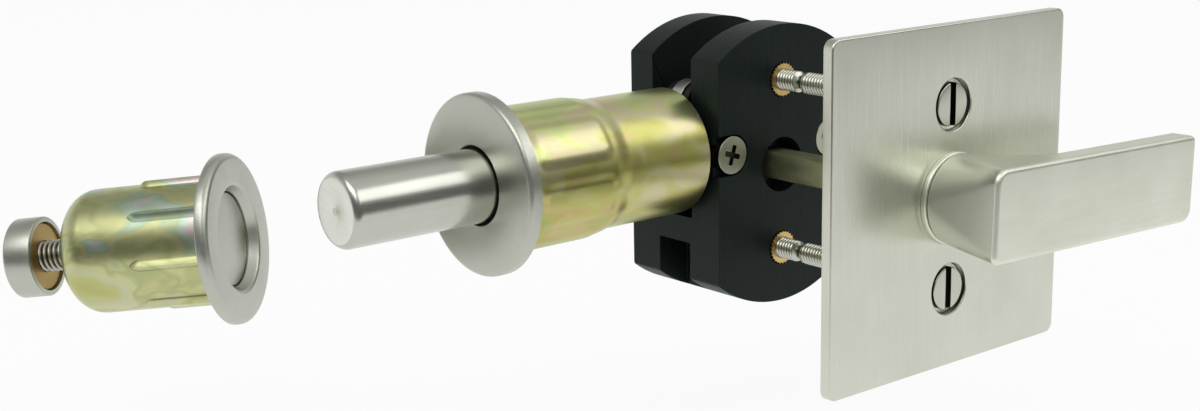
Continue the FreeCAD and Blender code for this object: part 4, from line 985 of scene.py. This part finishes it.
# The thread is painted dark as shade inside 2.5 mm of the axis, at its roots, lightening out to the crests
# by 2.9 mm
stud_radius = stud_nodes.new("ShaderNodeVectorMath")
stud_radius.operation = "LENGTH"
stud_links.new(
    object_pattern(stud_nodes, stud_links, (MM, MM, 1.0), strike_place), stud_radius.inputs[0])
stud_links.new(
    ramp(stud_nodes, stud_links,
         spread(stud_nodes, stud_links, stud_radius.outputs["Value"], 0, 1, 2.5, 2.9),
         [(0.0, (0.16, 0.15, 0.115)), (1.0, (0.50, 0.49, 0.44))]),
    stud_shader.inputs["Base Color"])
bump(stud_nodes, stud_links, stud_shader, grain(stud_nodes, stud_links, 0.4), 0.003)
finish_piece(
    stud_mesh, "strike_stud_threaded", stud_steel, "root", "strike_stud", 60)
cap_front, cap_back = -36.1 * MM, -41.4 * MM
cap_radius = 7.55 * MM
cap_wall = 1.0 * MM
cap_round, cap_rim_round = 0.45 * MM, 0.3 * MM
cap_profile = [
    (cap_back, 0),
    *quarter(cap_back + cap_round, cap_radius - cap_round, cap_round, -90, 0, 6),
    *quarter(cap_front - cap_rim_round, cap_radius - cap_rim_round, cap_rim_round, 0, 90, 5),
    (cap_front, cap_radius - cap_wall),
    (cap_back + cap_wall, cap_radius - cap_wall),
    (cap_back + cap_wall, 0),
]
finish_piece(
    lathe(cap_profile, strike_place, 128), "cap_nut_turned", strike_steel, "root",
    "cap_nut",
)
core_gap, core_bevel = 0.03 * MM, 0.35 * MM
core_front = cap_front - 0.5 * MM
core_back = cap_back + cap_wall + core_gap
core_radius = cap_radius - cap_wall - core_gap
core_bore = stud_crest + 0.05 * MM
core_profile = [
    (core_front, core_bore),
    (core_front, core_radius - core_bevel),
    (core_front - core_bevel, core_radius),
    (core_back, core_radius),
    (core_back, core_bore),
]
core_brass = satin_metal(
    "core_brass", (0.38, 0.26, 0.09), (0.52, 0.36, 0.14), 0.42, (0.5 * MM,) * 3, 0.008,
)
finish_piece(
    lathe(core_profile, strike_place, 96), "cap_core_turned", core_brass, "root",
    "cap_core",
)

# Plunger spring. Bright steel wire coiled between the plunger and the cup's floor. In the
# lock it shortens as the bolt pushes the plunger in; here it is coiled at full length.

wire_radius = 0.45 * MM
coil_radius = 5.5 * MM
COILS = 7
WIRE_SIDES = 10
spring_mesh = bmesh.new()
wire_section = []
for i in range(WIRE_SIDES):
    angle = math.tau * i / WIRE_SIDES
    wire_section.append((
        coil_radius + wire_radius * math.cos(angle),
        stud_floor + wire_radius * (1 + math.sin(angle)),
    ))
coil(spring_mesh, wire_section, COILS, plunger_back - stud_floor - 2 * wire_radius, 32)
bmesh.ops.recalc_face_normals(spring_mesh, faces=spring_mesh.faces)
bmesh.ops.transform(spring_mesh, matrix=strike_place, verts=spring_mesh.verts)
spring = finish_piece(
    spring_mesh, "plunger_spring_coiled", bright_nickel, "root", "plunger_spring")
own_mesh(spring)

# Floor, light and camera. A plain white floor, low enough for the lever's whole swing, and
# broad soft lamps, with the camera where the photograph was taken from.

heading, dip, bank = 0.885, 0.226, -0.020
floor_level = hub_z - bar_right - 2 * MM
floor_near, floor_far, floor_left, floor_right = 0.175, 2.0, 1.5, 1.19
floor_mesh = bmesh.new()
bmesh.ops.create_grid(floor_mesh, x_segments=1, y_segments=1, size=0.5)
bmesh.ops.scale(
    floor_mesh, verts=floor_mesh.verts, vec=(floor_near + floor_far, floor_left + floor_right, 1))
bmesh.ops.translate(
    floor_mesh, verts=floor_mesh.verts,
    vec=((floor_far - floor_near) / 2, (floor_left - floor_right) / 2, floor_level))
bmesh.ops.rotate(
    floor_mesh, verts=floor_mesh.verts, cent=(0, 0, 0), matrix=Matrix.Rotation(heading, 3, "Z"))
floor_data = bpy.data.meshes.new("studio_floor")
floor_mesh.to_mesh(floor_data)
floor_mesh.free()
floor = bpy.data.objects.new("studio_floor", floor_data)
bpy.context.scene.collection.objects.link(floor)
floor_white, floor_nodes, floor_links, floor_shader = new_material(
    "floor_white", (0.82, 0.82, 0.82), 0.0, 0.9)
floor_shader.inputs["Specular IOR Level"].default_value = 0.0
# The camera and the metal see the floor as plain white, while it keeps some shadow
white_share = 0.92
glow = floor_nodes.new("ShaderNodeEmission")
glow.inputs["Color"].default_value = (1, 1, 1, 1)
path = floor_nodes.new("ShaderNodeLightPath")
looked_at = floor_nodes.new("ShaderNodeMath")
looked_at.operation = "MAXIMUM"
floor_links.new(path.outputs["Is Camera Ray"], looked_at.inputs[0])
floor_links.new(path.outputs["Is Glossy Ray"], looked_at.inputs[1])
looked_through = floor_nodes.new("ShaderNodeMath")
looked_through.operation = "MAXIMUM"
floor_links.new(looked_at.outputs["Value"], looked_through.inputs[0])
floor_links.new(path.outputs["Is Transmission Ray"], looked_through.inputs[1])
seen = floor_nodes.new("ShaderNodeMath")
seen.operation = "MULTIPLY"
seen.inputs[1].default_value = white_share
floor_links.new(looked_through.outputs["Value"], seen.inputs[0])
floor_mix = floor_nodes.new("ShaderNodeMixShader")
floor_links.new(seen.outputs["Value"], floor_mix.inputs["Fac"])
floor_links.new(floor_shader.outputs["BSDF"], floor_mix.inputs[1])
floor_links.new(glow.outputs["Emission"], floor_mix.inputs[2])
floor_links.new(floor_mix.outputs["Shader"], floor_nodes["Material Output"].inputs["Surface"])
floor_data.materials.append(floor_white)

# The room is darker in front than behind, which gives the metal its soft bands
world = bpy.data.worlds.new("studio")
bpy.context.scene.world = world
world.use_nodes = True
world_nodes, world_links = world.node_tree.nodes, world.node_tree.links
direction = world_nodes.new("ShaderNodeTexCoord")
split = world_nodes.new("ShaderNodeSeparateXYZ")
world_links.new(direction.outputs["Generated"], split.inputs["Vector"])
front = spread(world_nodes, world_links, split.outputs["Z"], 0.18, 0.72, 0.34, 0.6)
back = spread(world_nodes, world_links, split.outputs["Z"], 0.85, 0.38, 0.3, 0.62)
world_mix = world_nodes.new("ShaderNodeMix")
world_links.new(
    spread(world_nodes, world_links, split.outputs["Y"], 0, 1, 0, 0.6), world_mix.inputs[0])
world_links.new(front, world_mix.inputs[2])
world_links.new(back, world_mix.inputs[3])
world_nodes["Background"].inputs["Color"].default_value = (1, 1, 0.98, 1)
world_links.new(world_mix.outputs[0], world_nodes["Background"].inputs["Strength"])


def softbox(name, place, target, width, depth, watts):
    """A rectangular soft lamp, turned to face its target."""
    lamp = bpy.data.lights.new(name, "AREA")
    lamp.shape = "RECTANGLE"
    lamp.size, lamp.size_y = width, depth
    lamp.energy = watts
    holder = bpy.data.objects.new(name, lamp)
    holder.location = place
    holder.rotation_euler = (Vector(target) - Vector(place)).to_track_quat("-Z", "Y").to_euler()
    bpy.context.scene.collection.objects.link(holder)


centre = (0.03, 0, 0)
softbox("key_softbox", (-0.56, -0.26, 0.84), centre, 1.0, 0.55, 3.4)
softbox("side_softbox", (0.50, -0.60, 0.64), centre, 1.0, 0.5, 2.0)

image_width, focal_pixels = 1200, 1734.26
camera_place = Vector((-169.94, -238.57, 62.95)) * MM
look = Vector((
    math.cos(dip) * math.cos(heading), math.cos(dip) * math.sin(heading), -math.sin(dip)))
level_right = Vector((math.sin(heading), -math.cos(heading), 0))
level_up = level_right.cross(look)
right = math.cos(bank) * level_right + math.sin(bank) * level_up
up = -math.sin(bank) * level_right + math.cos(bank) * level_up
camera_data = bpy.data.cameras.new("camera")
camera_data.sensor_width = 36
camera_data.lens = focal_pixels / image_width * camera_data.sensor_width
camera_data.clip_start, camera_data.clip_end = 0.01, 20
camera = bpy.data.objects.new("camera", camera_data)
turned = Matrix((right, up, -look)).transposed().to_4x4()
camera.matrix_world = Matrix.Translation(camera_place) @ turned
bpy.context.scene.collection.objects.link(camera)
bpy.context.scene.camera = camera
bpy.context.scene.view_settings.view_transform = "Standard"

bpy.context.view_layer.update()
